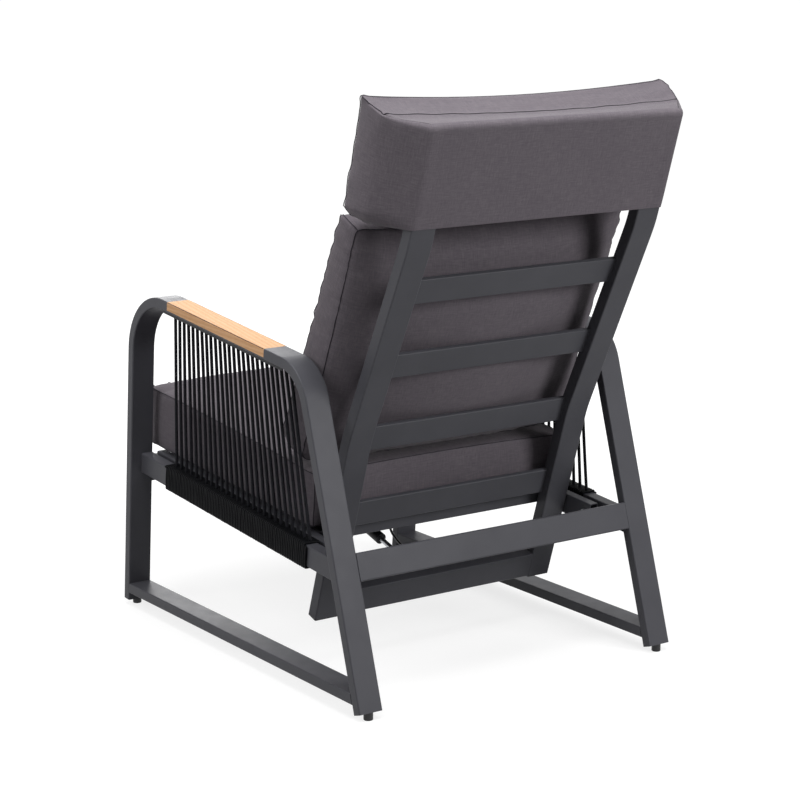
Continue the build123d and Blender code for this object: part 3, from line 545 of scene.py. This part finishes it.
def box_cushion(name, origin, along, up, half, span, lows, highs, crown, belly, waist, rows=9, n=60):
    """A box cushion: an upper and a lower panel with a gusset between them.

    span is where it starts and ends; lows and highs are its seams' heights there."""
    s = np.linspace(-1, 1, n + 1)
    g = even_share * s + crowded_share * np.sin(math.pi * s / 2)
    u, v = np.meshgrid(g, g, indexing="ij")
    largest = np.maximum(abs(u), abs(v))
    rounded = (abs(u) ** plan_power + abs(v) ** plan_power) ** (1 / plan_power)
    round_off = largest / np.maximum(rounded, 1e-9)
    u, v = u * round_off, v * round_off
    across = u * (half - waist * (1 - v ** 2))
    forth = (span[0] + span[1]) / 2 + v * ((span[1] - span[0]) / 2 - waist * (1 - u ** 2))
    low = lows[0] + (lows[1] - lows[0]) * (v + 1) / 2
    high = highs[0] + (highs[1] - highs[0]) * (v + 1) / 2
    ends = 1 - end_flatness * abs(v) ** end_power
    dome = (1 - abs(u) ** dome_power) * ends
    hang = (1 - abs(u) ** hang_power) ** hang_fullness * ends
    sideways = np.array((1.0, 0.0, 0.0))

    def at(x, y, z):
        return origin + x[..., None] * sideways + y[..., None] * along + z[..., None] * up

    corner = np.clip(abs(u) + abs(v) - corner_start, 0, 1) / corner_span
    top = at(across, forth, high + crown * dome - corner_pinch * corner)
    bottom = at(across, forth, low - belly * hang + corner_pinch * corner)
    points = [top.reshape(-1, 3), bottom.reshape(-1, 3)]
    count = (n + 1) ** 2
    loop = plan_loop(n)
    edge = [i * (n + 1) + j for i, j in loop]
    low_edge = [count + e for e in edge]
    levels = [edge]
    upper = points[0][edge]
    lower = points[1][edge]
    middle = (upper + lower).mean(0) / 2
    for row in range(1, rows):
        t = eased(row / rows)
        mixed = upper * (1 - t) + lower * t
        outward = mixed - middle
        outward -= np.outer(outward @ up, up)
        points.append(mixed + units(outward) * (gusset_swell * math.sin(math.pi * t)))
        levels.append([2 * count + (row - 1) * len(edge) + k for k in range(len(edge))])
    levels.append(low_edge)
    faces = []
    uvs = []
    flat = np.stack([across, forth], -1).reshape(-1, 2)
    for i in range(n):
        for j in range(n):
            a = i * (n + 1) + j
            b = a + n + 1
            cell = (a, b, b + 1, a + 1)
            faces.append(cell)
            uvs += [flat[k] for k in cell]
            faces.append(tuple(count + k for k in cell[::-1]))
            uvs += [flat[k] + lower_cloth_shift for k in cell[::-1]]
    walk = walked(upper, closed=True)
    depth = (highs[0] - lows[0]) / rows
    for row in range(rows):
        upper, lower = levels[row], levels[row + 1]
        for k in range(len(edge)):
            l = (k + 1) % len(edge)
            faces.append((upper[l], upper[k], lower[k], lower[l]))
            uvs += [(walk[k + 1], row * depth), (walk[k], row * depth)]
            uvs += [(walk[k], (row + 1) * depth), (walk[k + 1], (row + 1) * depth)]
    made = mesh_object(name, np.vstack(points), faces, cushion_cloth, uvs)
    corners = []
    for i, j in ((0, 0), (n, 0), (n, n), (0, n)):
        k = loop.index((i, j))
        corners.append([level[k] for level in levels])
    return made, (edge, low_edge), corners


def finish_cushion(made, loops, corners, node_name, body, allowed, seed, pucker):
    """Swells, trims, sews and mounts a cushion."""
    inflate(made, np.zeros(len(made.data.vertices), bool), cushion_swell_limit, [*loops, *corners])
    hold_inside(made, node_name, allowed)
    puckers(made, loops, pucker, pucker_reach, pucker_pitch, seed)
    for number, loop in enumerate(loops):
        sewn_edge(f"{made.name}_seam_{number + 1}", made, loop, body, piping_radius, closed=True)
    for number, line in enumerate(corners):
        sewn_edge(f"{made.name}_corner_{number + 1}", made, line, body)
    subdivided(made)
    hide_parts(node_name)
    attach(made, body)


def seat_room(_, normal):
    """How far the seat's cover may stand out of its CAD solid: not at all where it lies on the slats."""
    if normal.z < -0.5:
        return resting_room
    if abs(normal.x) > 0.5:
        return seat_side_room
    return seat_front_room if normal.y < -0.5 else seat_top_room


def back_room(point, normal):
    """The same for the back's cover, whose rear may bulge where it hangs clear of the frame."""
    if normal.y > 0.3:
        clear = (point - back_origin) @ back_forward - back_rests_below
        return min(max(back_rear_share * clear, resting_room), back_rear_room)
    return back_front_room if abs(normal.x) < 0.5 else back_side_room


seat = box_cushion(
    "seat_cushion_cover", seat_origin, seat_along, seat_up, half=0.2865, span=(-0.013, 0.602),
    lows=(0.006, 0.010), highs=(0.121, 0.112), crown=0.020, belly=0.006, waist=0.004,
)
finish_cushion(*seat, "seat_cushion", "base", seat_room, seed=11, pucker=0.0014)

back = box_cushion(
    "back_cushion_cover", back_origin, back_along, back_forward, half=0.294, span=(0.0, 0.470),
    lows=(0.0726, 0.101), highs=(0.148, 0.156), crown=0.014, belly=0.0700, waist=0.003,
)
finish_cushion(*back, "back_cushion", "back", back_room, seed=12, pucker=0.0026)

# The headrest hood
# heights run up from the frame's shoulder, and depths forward from the hood's rear skin
hood_first = 0.031
hood_last = 0.205
hood_cloth = 0.0016
pocket_room = 0.0004
stile_depth = 0.025
rear_half = 0.271
hood_half = 0.3200
hood_nose = 0.1320
seam_forward = 0.069
hood_places = (0, 0.04, 0.1, 0.3, 0.62, 0.93, 0.98, 1)
hood_level_shares = (0.8, 0.75, 0.6, 0.25, 0, -0.2, -0.3, -0.35)
hood_nose_shares = (0.77, 0.93, 1.01, 1, 1, 1.01, 1.01, 1.0)
hood_side_shares = (0.5, 0.8, 1, 1, 0.98, 1, 1, 1)
hood_full_shares = (0.3, 0.5, 0.7, 1, 1, 0.6, 0.3, 0.15)
hood_crown = 0.024
front_cells = 32
gusset_cells = 8
shoulder_cells = 14
side_cells = gusset_cells + shoulder_cells
grid_cells = 2 * front_cells
# the shoulder's line, as shares of its way out to the seam and forward to it, then round the frame's corner
shoulder_shares = ((1, 1), (0.60, 0.62), (0.27, 0.30), (0.075, 0.09))
corner_inset = 0.0055
corner_proud = 0.001
flat_inset = 0.026
rise_places = (0, 0.010, 0.027, 0.050, 0.069, 0.135)
rises = (0.0095, 0.0085, 0.0045, 0.0005, -0.0015, 0.0)
forward_places = (0, 0.027, 0.069, 0.131)
sags = (0.0, 0.0015, 0.0080, 0.0155)
sag_powers = (12, 12, 12, 2)
far_droop = 0.006
tip = 0.0024
tip_reach = 0.010
folds = (0.010, 0.008, 0.003, 0.0016)
fold_rows = 4
gusset_puff = 0.006
side_puff = 0.003
rear_skin = 0.0145
droop_reach = 0.022
hood_rows_up = 36
mouth_rows = 6
mouth_turn = 0.1
top_cloth_shift = 2.0
pocket_rows = 12
hood_swell_limit = 0.008
late_start = 0.55
late_span = 0.45
steady_rise = 0.35
eased_rise = 0.65


def smooth_through(points, count):
    """A smooth line through some points, in count steps, as the points after the first."""
    pts = np.array([points[0], *points, points[-1]], float)
    share = np.linspace(0, len(points) - 1, count + 1)[1:]
    made = []
    for s in share:
        i = min(int(s), len(points) - 2)
        t = s - i
        a, b, c, d = pts[i:i + 4]
        bend = (2 * a - 5 * b + 4 * c - d) * t ** 2
        made.append(0.5 * (2 * b + (c - a) * t + bend + (3 * b - a - 3 * c + d) * t ** 3))
    return [tuple(p) for p in made]


def late_share(t):
    """How far the top's own forms have come in at height t."""
    return max(0.0, (t - late_start) / late_span) ** 2


def hood_outline(t):
    """One half of the hood's section at height t, from the front's middle over +X to the rear's middle."""
    half = rear_half + np.interp(t, hood_places, hood_side_shares) * (hood_half - rear_half)
    nose = hood_nose * np.interp(t, hood_places, hood_nose_shares)
    full = hood_crown * np.interp(t, hood_places, hood_full_shares)
    flat = []
    for k in range(front_cells + 1):
        q = k / front_cells
        x = half * (even_share * q + crowded_share * math.sin(math.pi / 2 * q))
        flat.append((x, nose + full * (1 - (x / half) ** 2)))
    for k in range(1, gusset_cells + 1):
        q = k / gusset_cells
        flat.append((half + side_puff * math.sin(math.pi * q), nose + (seam_forward - nose) * q))
    bends = [(rear_half + out * (half - rear_half), ahead * seam_forward) for out, ahead in shoulder_shares]
    bends += [(rear_half - corner_inset, -corner_proud), (rear_half - flat_inset, 0.0)]
    flat += smooth_through(bends, shoulder_cells)
    for k in range(1, front_cells + 1):
        flat.append(((rear_half - flat_inset) * (1 - k / front_cells), 0.0))
    return flat


def pocket_outline():
    """The same points drawn in to the pocket that the frame's top stands in."""
    half = rear_half - hood_cloth
    near = hood_cloth
    far = hood_cloth + stile_depth + 2 * pocket_room
    flat = [(half * k / front_cells, far) for k in range(front_cells + 1)]
    flat += [(half, far + (near - far) * k / side_cells) for k in range(1, side_cells + 1)]
    flat += [(half * (1 - k / front_cells), near) for k in range(1, front_cells + 1)]
    return flat


def hood_points(flat, t, level):
    """A section's outline in space: its +X half and then its mirrored half back to the start."""
    lean = top_lean * (1 - level)
    forward = np.array((0.0, -math.cos(lean), math.sin(lean)))
    at = shoulder + top_up * (hood_first + t * (hood_last - hood_first)) + top_rear * rear_skin
    ring = list(flat) + [(-x, y) for x, y in reversed(flat[1:-1])]
    return np.array([at + np.array((x, 0.0, 0.0)) + forward * y for x, y in ring])


def ring_edges(ring):
    """A ring's front, +X, rear and -X stretches, which are the four edges of the grid that closes it."""
    count = len(ring)
    rear_end = front_cells + side_cells + grid_cells
    front = [ring[(k - front_cells) % count] for k in range(grid_cells + 1)]
    plus = [ring[front_cells + j] for j in range(side_cells + 1)]
    rear = [ring[rear_end - k] for k in range(grid_cells + 1)]
    minus = [ring[(-front_cells - j) % count] for j in range(side_cells + 1)]
    return front, plus, rear, minus


def cap_grid(ring):
    """Rows of points that close a ring, from its front edge to its rear edge, as a Coons patch."""
    front, plus, rear, minus = ring_edges(ring)
    grid = np.zeros((side_cells + 1, grid_cells + 1, 3))
    depth = plus[0] - plus[-1]
    for j in range(side_cells + 1):
        b = np.clip(((plus[0] - plus[j]) @ depth) / (depth @ depth), 0, 1)
        for k in range(grid_cells + 1):
            a = k / grid_cells
            edge = (1 - b) * front[k] + b * rear[k] + (1 - a) * minus[j] + a * plus[j]
            corner = (1 - a) * (1 - b) * minus[0] + a * (1 - b) * plus[0]
            corner = corner + (1 - a) * b * minus[-1] + a * b * plus[-1]
            grid[j, k] = edge - corner
    return grid


class Patchwork:
    """Points, faces and cloth coordinates that grow patch by patch."""

    def __init__(self):
        self.points = []
        self.faces = []
        self.uvs = []

    def add(self, points):
        start = len(self.points)
        self.points += [np.asarray(p) for p in points]
        return list(range(start, len(self.points)))

    def face(self, corners, coords):
        self.faces.append(tuple(corners))
        self.uvs += coords

    def band(self, lower, upper, walk, low, high):
        """Quads between two closed rows of the same length."""
        count = len(lower)
        for k in range(count):
            l = (k + 1) % count
            self.face(
                (lower[k], lower[l], upper[l], upper[k]),
                [(walk[k], low), (walk[k + 1], low), (walk[k + 1], high), (walk[k], high)],
            )

    def cap(self, ring, grid, flip):
        """Closes a ring with a grid whose inner points are new."""
        index = np.zeros((side_cells + 1, grid_cells + 1), int)
        index[0], index[:, -1], index[-1], index[:, 0] = ring_edges(ring)
        for j in range(1, side_cells):
            for k in range(1, grid_cells):
                index[j, k] = self.add([grid[j, k]])[0]
        for j in range(side_cells):
            for k in range(grid_cells):
                cells = ((j, k), (j, k + 1), (j + 1, k + 1), (j + 1, k))
                corners = [index[c] for c in cells]
                coords = [(grid[c][0] + top_cloth_shift, grid[c] @ top_rear) for c in cells]
                if flip:
                    corners, coords = corners[::-1], coords[::-1]
                self.face([int(c) for c in corners], coords)
        return index


def build_hood():
    """The hood's mesh, its outer rows of points from the lower edge up, and the grid that closes its top."""
    patches = Patchwork()
    rings = []
    for row in range(hood_rows_up + 1):
        q = row / hood_rows_up
        t = steady_rise * q + eased_rise * eased(q)
        ring = hood_points(hood_outline(t), t, np.interp(t, hood_places, hood_level_shares))
        x = ring[:, 0] / hood_half
        forward = -(ring - ring[front_cells + side_cells]) @ top_rear
        sag = np.interp(forward, forward_places, sags) * t ** 5
        sag = sag * (1 - abs(x).clip(0, 1) ** np.interp(forward, forward_places, sag_powers))
        late = late_share(t)
        beside_seam = np.exp(-((forward - seam_forward) / droop_reach) ** 2)
        sag = sag + far_droop * late * (-x).clip(0, 1) ** 6 * beside_seam
        fold = np.interp(forward, forward_places, folds)
        ring = ring + top_up * (late * (np.interp(forward, rise_places, rises) - fold) - sag)[:, None]
        # the two front corners end in a small point, where three seams meet
        for corner, side in ((front_cells, 1), (-front_cells, -1)):
            away = np.linalg.norm(ring - ring[corner], axis=1)
            point = tip * late ** 4 * np.exp(-(away / tip_reach) ** 2)
            way = np.array((side, 0, 0)) - top_rear * 0.7 + top_up * (0.7 + 0.2 * side)
            ring = ring + point[:, None] * way
        rings.append((t, ring))
    # the top edge turns over in a soft fold at the rear and a sharp one at the front
    inward = units(np.cross(np.roll(ring, -1, 0) - np.roll(ring, 1, 0), top_up))
    if inward[0] @ top_rear < 0:
        inward = -inward
    for row in range(1, fold_rows + 1):
        a = math.pi / 2 * row / fold_rows
        turned = ring + (inward * (1 - math.cos(a)) + top_up * math.sin(a)) * fold[:, None]
        rings.append((1 + 0.01 * row, turned))
    walk = walked(rings[hood_rows_up // 2][1], closed=True)
    outer = [patches.add(ring) for _, ring in rings]
    height = hood_last - hood_first
    for (low, _), (high, _), lower, upper in zip(rings, rings[1:], outer, outer[1:]):
        patches.band(lower, upper, walk, low * height, high * height)
    grid = cap_grid(rings[-1][1])
    rear_point = grid[-1, front_cells]
    for j in range(1, side_cells):
        for k in range(1, grid_cells):
            ahead = -(grid[j, k] - rear_point) @ top_rear
            q = (ahead - seam_forward) / (hood_nose - seam_forward)
            if q > 0:
                ends = 1 - abs(grid[j, k, 0] / hood_half) ** 4
                grid[j, k] = grid[j, k] + top_up * gusset_puff * math.sin(math.pi * min(q, 1)) * ends
    cap = patches.cap(outer[-1], grid, True)
    # the lower edge, in to the pocket's mouth, then the pocket's walls and its end
    start_ring = rings[0][1]
    mouth = hood_points(pocket_outline(), 0.0, hood_level_shares[0])
    last = outer[0]
    for step in range(1, mouth_rows + 1):
        share = step / mouth_rows
        row = patches.add(start_ring * (1 - share) + mouth * share)
        patches.band(row, last, walk, -share * mouth_turn, -(share - 1 / mouth_rows) * mouth_turn)
        last = row
    for step in range(1, pocket_rows + 1):
        t = step / pocket_rows * (1 - hood_cloth / height)
        ring = hood_points(pocket_outline(), t, hood_level_shares[0] * max(0.0, 1 - 4 * t))
        row = patches.add(ring)
        patches.band(row, last, walk, -mouth_turn - t * height, -mouth_turn - (t - 1 / pocket_rows) * height)
        last = row
    patches.cap(last, cap_grid(ring), False)
    made = mesh_object("headrest_hood_cover", patches.points, patches.faces, cushion_cloth, patches.uvs)
    return made, outer, cap


hood, hood_rows, hood_cap = build_hood()
# the flap and the pocket are pinned, and the front, the sides and the top's front part swell
pins = np.ones(len(hood.data.vertices), bool)
for row in hood_rows:
    for k, index in enumerate(row):
        pins[index] = min(k, len(row) - k) > front_cells + gusset_cells + 3
pins[hood_cap[:gusset_cells + 2].ravel()] = False
hood_seams = {
    "front_top": [int(i) for i in hood_cap[0]],
    "rear_top": [int(i) for i in hood_cap[gusset_cells]],
    "mitre_left": [hood_rows[-1][front_cells + j] for j in range(gusset_cells + 1)],
    "mitre_right": [hood_rows[-1][-front_cells - j] for j in range(gusset_cells + 1)],
    "front_left": [row[front_cells] for row in hood_rows],
    "front_right": [row[-front_cells] for row in hood_rows],
    "lower": [hood_rows[0][k] for k in range(-front_cells, front_cells + 1)],
}
inflate(hood, pins, hood_swell_limit, list(hood_seams.values()))
for labels, depth, reach, pitch, seed in (
    (("front_top",), 0.0008, 0.020, 0.045, 13),
    (("front_left", "front_right"), 0.0014, 0.022, 0.040, 15),
    (("rear_top", "mitre_left", "mitre_right"), 0.0007, 0.014, 0.05, 14),
):
    puckers(hood, [hood_seams[label] for label in labels], depth, reach, pitch, seed)
for label, line in hood_seams.items():
    sewn_edge(f"headrest_hood_seam_{label}", hood, line, "back")
subdivided(hood)
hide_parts("headrest_hood")
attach(hood, "back")

# Ropes
strand_count = 26
rope_radius = 0.0031
strand_top_first = np.array((0.326, -0.276626, 0.621104))
strand_top_last = np.array((0.326, 0.128374, 0.580322))
strand_foot_first = np.array((0.3145, -0.304626, 0.305305))
strand_foot_last = np.array((0.3145, 0.171374, 0.267007))
strand_top_trim = 0.0062
strand_foot_trim = 0.0042
braid_lay = 0.024
braid_step = 0.0015
strand_sides = 12
plait_share = 0.035
bow_along = 0.0009
snake_along = 0.0004
bow_across = 0.0006


def braided(points, radius, depth, sides, lay):
    """A tube whose surface has the diagonal plaits of a braid."""
    angle = np.arange(sides)[None, :] * 2 * math.pi / sides
    turn = 2 * math.pi * walked(points)[:, None] / lay
    one = np.cos(3 * (angle + turn))
    other = np.cos(3 * (angle - turn))
    return tube_data(points, radius * (1 - depth + depth * np.maximum(one, other)), sides)


def strands(sign):
    """The taut ropes between an arm and its side rail, each a little bowed."""
    parts = []
    for index in range(strand_count):
        share = index / (strand_count - 1)
        top = strand_top_first * (1 - share) + strand_top_last * share
        foot = strand_foot_first * (1 - share) + strand_foot_last * share
        line = foot - top
        length = np.linalg.norm(line)
        line = line / length
        start = top + line * strand_top_trim
        reach = length - strand_top_trim - strand_foot_trim
        q = np.linspace(0, 1, int(reach / braid_step))
        bow = np.sin(math.pi * q)
        points = start + np.outer(q * reach, line)
        bowed = bow * rng.uniform(-bow_along, bow_along)
        points[:, 1] += bowed + np.sin(2 * math.pi * q) * rng.uniform(-snake_along, snake_along)
        points[:, 0] += bow * rng.uniform(-bow_across, bow_across)
        points[:, 0] *= sign
        parts.append(braided(points, rope_radius, plait_share, strand_sides, braid_lay))
    return joined(parts)


wrap_start = np.array((0.3145, -0.326626, 0.287200))
rail_half_width = 0.0125
rail_half_height = 0.01993
wrap_radius_across = 0.0025
turn_pitch = 0.0058
wrap_length = 0.5095
turn_cut = 0.006
turn_drift = 0.00035
turn_lift = 0.012
lift_pace = 0.37
wrap_round = 0.001
turn_sides = 8
turn_half_thick = 0.00245
turn_half_wide = 0.00305
turn_plait = 0.03
turn_plait_length = 0.0055


def wrap_turns(sign):
    """The rope's turns round the side rail, laid side by side."""
    turns = int(wrap_length / turn_pitch)
    half_x = rail_half_width + wrap_radius_across
    half_z = rail_half_height + wrap_radius_across
    corner = wrap_radius_across + wrap_round
    outline = []
    for cx, cz, first in ((1, 1, 0), (-1, 1, 90), (-1, -1, 180), (1, -1, 270)):
        for step in range(4):
            a = math.radians(first + 30 * step)
            x = cx * (half_x - corner) + corner * math.cos(a)
            outline.append((x, cz * (half_z - corner) + corner * math.sin(a)))
    outline = np.array(outline)
    dense = []
    for a, b in zip(outline, np.roll(outline, -1, 0)):
        cuts = max(1, int(np.linalg.norm(b - a) / turn_cut))
        dense += [a + (b - a) * c / cuts for c in range(cuts)]
    dense = np.array(dense)
    per = len(dense)
    drift = rng.normal(0, 1, turns + 2)
    swell = rng.uniform(-1, 1, turns + 2)
    knots = np.arange(turns + 2)
    points = []
    for i in range(turns * per + 1):
        turn = i / per
        x, z = dense[i % per]
        wobble = np.interp(turn, knots, drift) * turn_drift
        lift = 1 + turn_lift * np.interp(turn, knots, swell) * math.sin(turn * lift_pace)
        way = turn * turn_pitch * (wrap_length - turn_pitch) / (turns * turn_pitch)
        at = wrap_start + seat_along * (turn_pitch / 2 + way + wobble)
        points.append(at + np.array((x * lift, 0, 0)) + seat_up * (z * lift))
    pts = np.array(points)
    angles = np.arange(turn_sides) * 2 * math.pi / turn_sides
    outward = units(pts - (wrap_start + np.outer((pts - wrap_start) @ seat_along, seat_along)))
    beat = np.cos(2 * math.pi * walked(pts) / turn_plait_length)
    plait = 1 - turn_plait + turn_plait * beat[:, None] * np.cos(2 * angles)[None, :]
    ring = outward[:, None, :] * (np.cos(angles) * turn_half_thick)[None, :, None]
    ring = ring + seat_along * (np.sin(angles) * turn_half_wide)[None, :, None]
    made = (pts[:, None, :] + ring * plait[:, :, None]).reshape(-1, 3)
    made[:, 0] *= sign
    faces = tube_faces(len(pts), turn_sides)
    return made, faces if sign > 0 else turned_over(faces)


for side, sign in (("left", 1), ("right", -1)):
    points, faces = strands(sign)
    strand_piece = mesh_object(f"rope_strands_braided_{side}", points, faces, rope_black)
    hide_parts(f"rope_strands_{side}")
    points, faces = wrap_turns(sign)
    wrap_piece = mesh_object(f"rope_wrap_turns_{side}", points, faces, wrap_black)
    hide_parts(f"rope_wrap_{side}")
    for piece in (strand_piece, wrap_piece):
        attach(piece, "base")

# The teak pads' top edges: a thin dark brown roll along each, as painted shade in the edge
arm_run = (strand_top_last - strand_top_first) / np.linalg.norm(strand_top_last - strand_top_first)
arm_up = np.cross((1.0, 0.0, 0.0), arm_run)
edge_shade_radius = 0.0010
edge_shade_inset = 0.0011
edge_shade_end = 0.0015

for side, sign in (("left", 1), ("right", -1)):
    pad = coordinates(nodes[f"arm_pad_{side}"])
    run, rise = pad @ arm_run, pad @ arm_up
    places = np.linspace(run.min() + edge_shade_end, run.max() - edge_shade_end, 24)
    out = abs(pad[:, 0])
    for label, x in (("outer", out.max() - edge_shade_inset), ("inner", out.min() + edge_shade_inset)):
        line = np.outer(places, arm_run) + arm_up * (rise.max() - edge_shade_inset)
        points, faces = tube_data(line + np.array((sign * x, 0.0, 0.0)), edge_shade_radius, 6)
        # painted shade: a thin dark roll along one of the pad's top edges, where its top meets its side
        edge_shade_line = mesh_object(f"arm_pad_joint_{label}_{side}", points, faces, painted_edge_shade)
        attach(edge_shade_line, "base")

# The rope bars' outer lips
lip_face = 0.3468
lip_thickness = 0.0018
lip_round = 0.0004
lip_drop = 0.0002

for side, sign in (("left", 1), ("right", -1)):
    bar = coordinates(nodes[f"rope_bar_{side}"])
    run, rise = bar @ arm_run, bar @ arm_up
    places = np.linspace(run.min(), run.max(), 16)
    outer, inner = lip_face, lip_face - lip_thickness
    low, high = rise.min(), rise.max() - lip_drop
    section = (
        (outer - lip_round, low), (inner + lip_round, low),
        (inner, low + lip_round), (inner, high - lip_round),
        (inner + lip_round, high), (outer - lip_round, high),
        (outer, high - lip_round), (outer, low + lip_round),
    )
    points = []
    for place in places:
        points += [arm_run * place + arm_up * up + np.array((sign * x, 0.0, 0.0)) for x, up in section]
    faces = tube_faces(len(places), len(section))
    if sign < 0:
        faces = turned_over(faces)
    lip = mesh_object(f"rope_bar_lip_{side}", points, faces, dark_paint, smooth=False)
    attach(lip, "base")

# The release cable
cable_lead = 0.022
cable_route_points = 8
sheath_radius = 0.0025
wire_radius = 0.0008
rearward = np.array((0.0, 1.0, 0.0))


def cable_line():
    """The sheath's middle line, a smooth spline over its route's points."""
    first = cable_start + rearward * cable_lead
    last = cable_end - spring_run * cable_lead
    reach = np.linalg.norm(last - first)
    route = [cable_start]
    for index in range(cable_route_points):
        t = index / (cable_route_points - 1)
        from_first = 1 - t * t * (3 - 2 * t)
        point = first * from_first + last * (1 - from_first)
        point = point + rearward * reach * t * (1 - t) * (1 - t) - spring_run * reach * t * t * (1 - t)
        route.append(point)
    route.append(cable_end)
    curve = bpy.data.curves.new("cable_route", "CURVE")
    curve.dimensions = "3D"
    curve.resolution_u = 12
    spline = curve.splines.new("NURBS")
    spline.points.add(len(route) - 1)
    for point, place in zip(spline.points, route):
        point.co = (*place, 1.0)
    spline.order_u = 3
    spline.use_endpoint_u = True
    holder = bpy.data.objects.new("cable_route", curve)
    scene.collection.objects.link(holder)
    graph = bpy.context.evaluated_depsgraph_get()
    line = bpy.data.meshes.new_from_object(holder.evaluated_get(graph))
    bpy.data.objects.remove(holder)
    return point_rows(line)


def cable_piece(name, points, radius, material, sides=12):
    """A stretch of the cable, as a tube along its points."""
    made, faces = tube_data(points, radius, sides)
    piece = mesh_object(name, made, faces, material)
    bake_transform(piece)
    return piece


sheath = cable_line()
split = len(sheath) * 2 // 5
front_part, rear_part = sheath[:split + 1], sheath[split:]
front_sheath = cable_piece(
    "cable_sheath_front", front_part, sheath_radius, sheath_plastic,
)
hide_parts("release_cable")
cable_piece(
    "cable_sheath_rear", rear_part, sheath_radius, sheath_plastic,
)
lever_end = np.array((-0.205, -0.400715, 0.247134))
arm_end = np.array((-0.036, 0.050700, 0.125200))
front_wire = np.linspace(cable_start, lever_end, 12)
cable_piece(
    "cable_wire_front", front_wire, wire_radius, zinc_steel,
    sides=8,
)
rear_wire = np.linspace(cable_end, arm_end, 16)
cable_piece(
    "cable_wire_rear", rear_wire, wire_radius, zinc_steel,
    sides=8,
)

# Floor, light and camera
floor_half = 30.0
floor_colour = (0.28, 0.28, 0.28, 1)
shade_radius = 0.75
white_radius = 1.9
shade_level = 0.79
surrounding_light = 0.10
photo_lens = 102.1
camera_place = (2.3931, 3.4285, 1.3544)
camera_target = (0.0, -0.0035, 0.4555)


def seen_rays(tree):
    """1 for the rays of the camera, of gloss and of glass, and 0 for those that light the object."""
    path = tree.nodes.new("ShaderNodeLightPath")
    total = path.outputs["Is Camera Ray"]
    for other in ("Is Glossy Ray", "Is Transmission Ray"):
        most = tree.nodes.new("ShaderNodeMath")
        most.operation = "MAXIMUM"
        tree.links.new(total, most.inputs[0])
        tree.links.new(path.outputs[other], most.inputs[1])
        total = most.outputs[0]
    return total


floor_mesh = bpy.data.meshes.new("studio_floor")
floor_corners = [(x * floor_half, y * floor_half, 0) for x, y in ((-1, -1), (1, -1), (1, 1), (-1, 1))]
floor_mesh.from_pydata(floor_corners, [], [(0, 1, 2, 3)])
floor = bpy.data.objects.new("studio_floor", floor_mesh)
scene.collection.objects.link(floor)
look = Nodes("studio_white", 0.9, specular=0.0)
look.shader.inputs["Base Color"].default_value = floor_colour
look.shader.inputs["Emission Color"].default_value = (1, 1, 1, 1)
away = look.add("ShaderNodeVectorMath", operation="LENGTH")
look.link(look.add("ShaderNodeTexCoord").outputs["Object"], away.inputs[0])
glow = look.spread(away.outputs["Value"], shade_level, 1.0)
glow.node.inputs["From Min"].default_value = shade_radius
glow.node.inputs["From Max"].default_value = white_radius
strength = look.maths("MULTIPLY", seen_rays(look.tree), glow)
look.link(strength, look.shader.inputs["Emission Strength"])
floor_mesh.materials.append(look.material)

world = bpy.data.worlds.new("studio")
scene.world = world
world.use_nodes = True
sky = world.node_tree
mixed = sky.nodes.new("ShaderNodeMixShader")
sky.links.new(seen_rays(sky), mixed.inputs["Fac"])
backgrounds = (sky.nodes["Background"], sky.nodes.new("ShaderNodeBackground"))
for node, level, socket in zip(backgrounds, (surrounding_light, 1.0), (1, 2)):
    node.inputs["Color"].default_value = (1, 1, 1, 1)
    node.inputs["Strength"].default_value = level
    sky.links.new(node.outputs[0], mixed.inputs[socket])
sky.links.new(mixed.outputs[0], sky.nodes["World Output"].inputs["Surface"])


def aimed(name, data, place, target):
    """A light or camera at a place, turned to look at a target."""
    holder = bpy.data.objects.new(name, data)
    scene.collection.objects.link(holder)
    holder.location = place
    aim = Vector(target) - Vector(place)
    holder.rotation_euler = aim.to_track_quat("-Z", "Y").to_euler()
    return holder


for name, place, target, size, power in (
    ("top_softbox", (0.3, 0.6, 3.2), (0, 0, 0.4), 2.4, 100),
    ("rear_softbox", (-1.6, 3.8, 1.9), (0, 0, 0.6), 1.6, 100),
    ("front_softbox", (-1.2, -3.9, 2.1), (0, 0, 0.5), 2.0, 60),
    ("side_softbox", (2.4, 0.1, 2.1), (0, 0.1, 0.5), 1.6, 33),
):
    light = bpy.data.lights.new(name, "AREA")
    light.shape = "SQUARE"
    light.size = size
    light.energy = power
    aimed(name, light, place, target).visible_camera = False

camera_data = bpy.data.cameras.new("photo_camera")
camera_data.lens = photo_lens
camera_data.sensor_width = 36.0
camera_data.sensor_fit = "HORIZONTAL"
scene.camera = aimed("photo_camera", camera_data, camera_place, camera_target)
scene.view_settings.view_transform = "Standard"
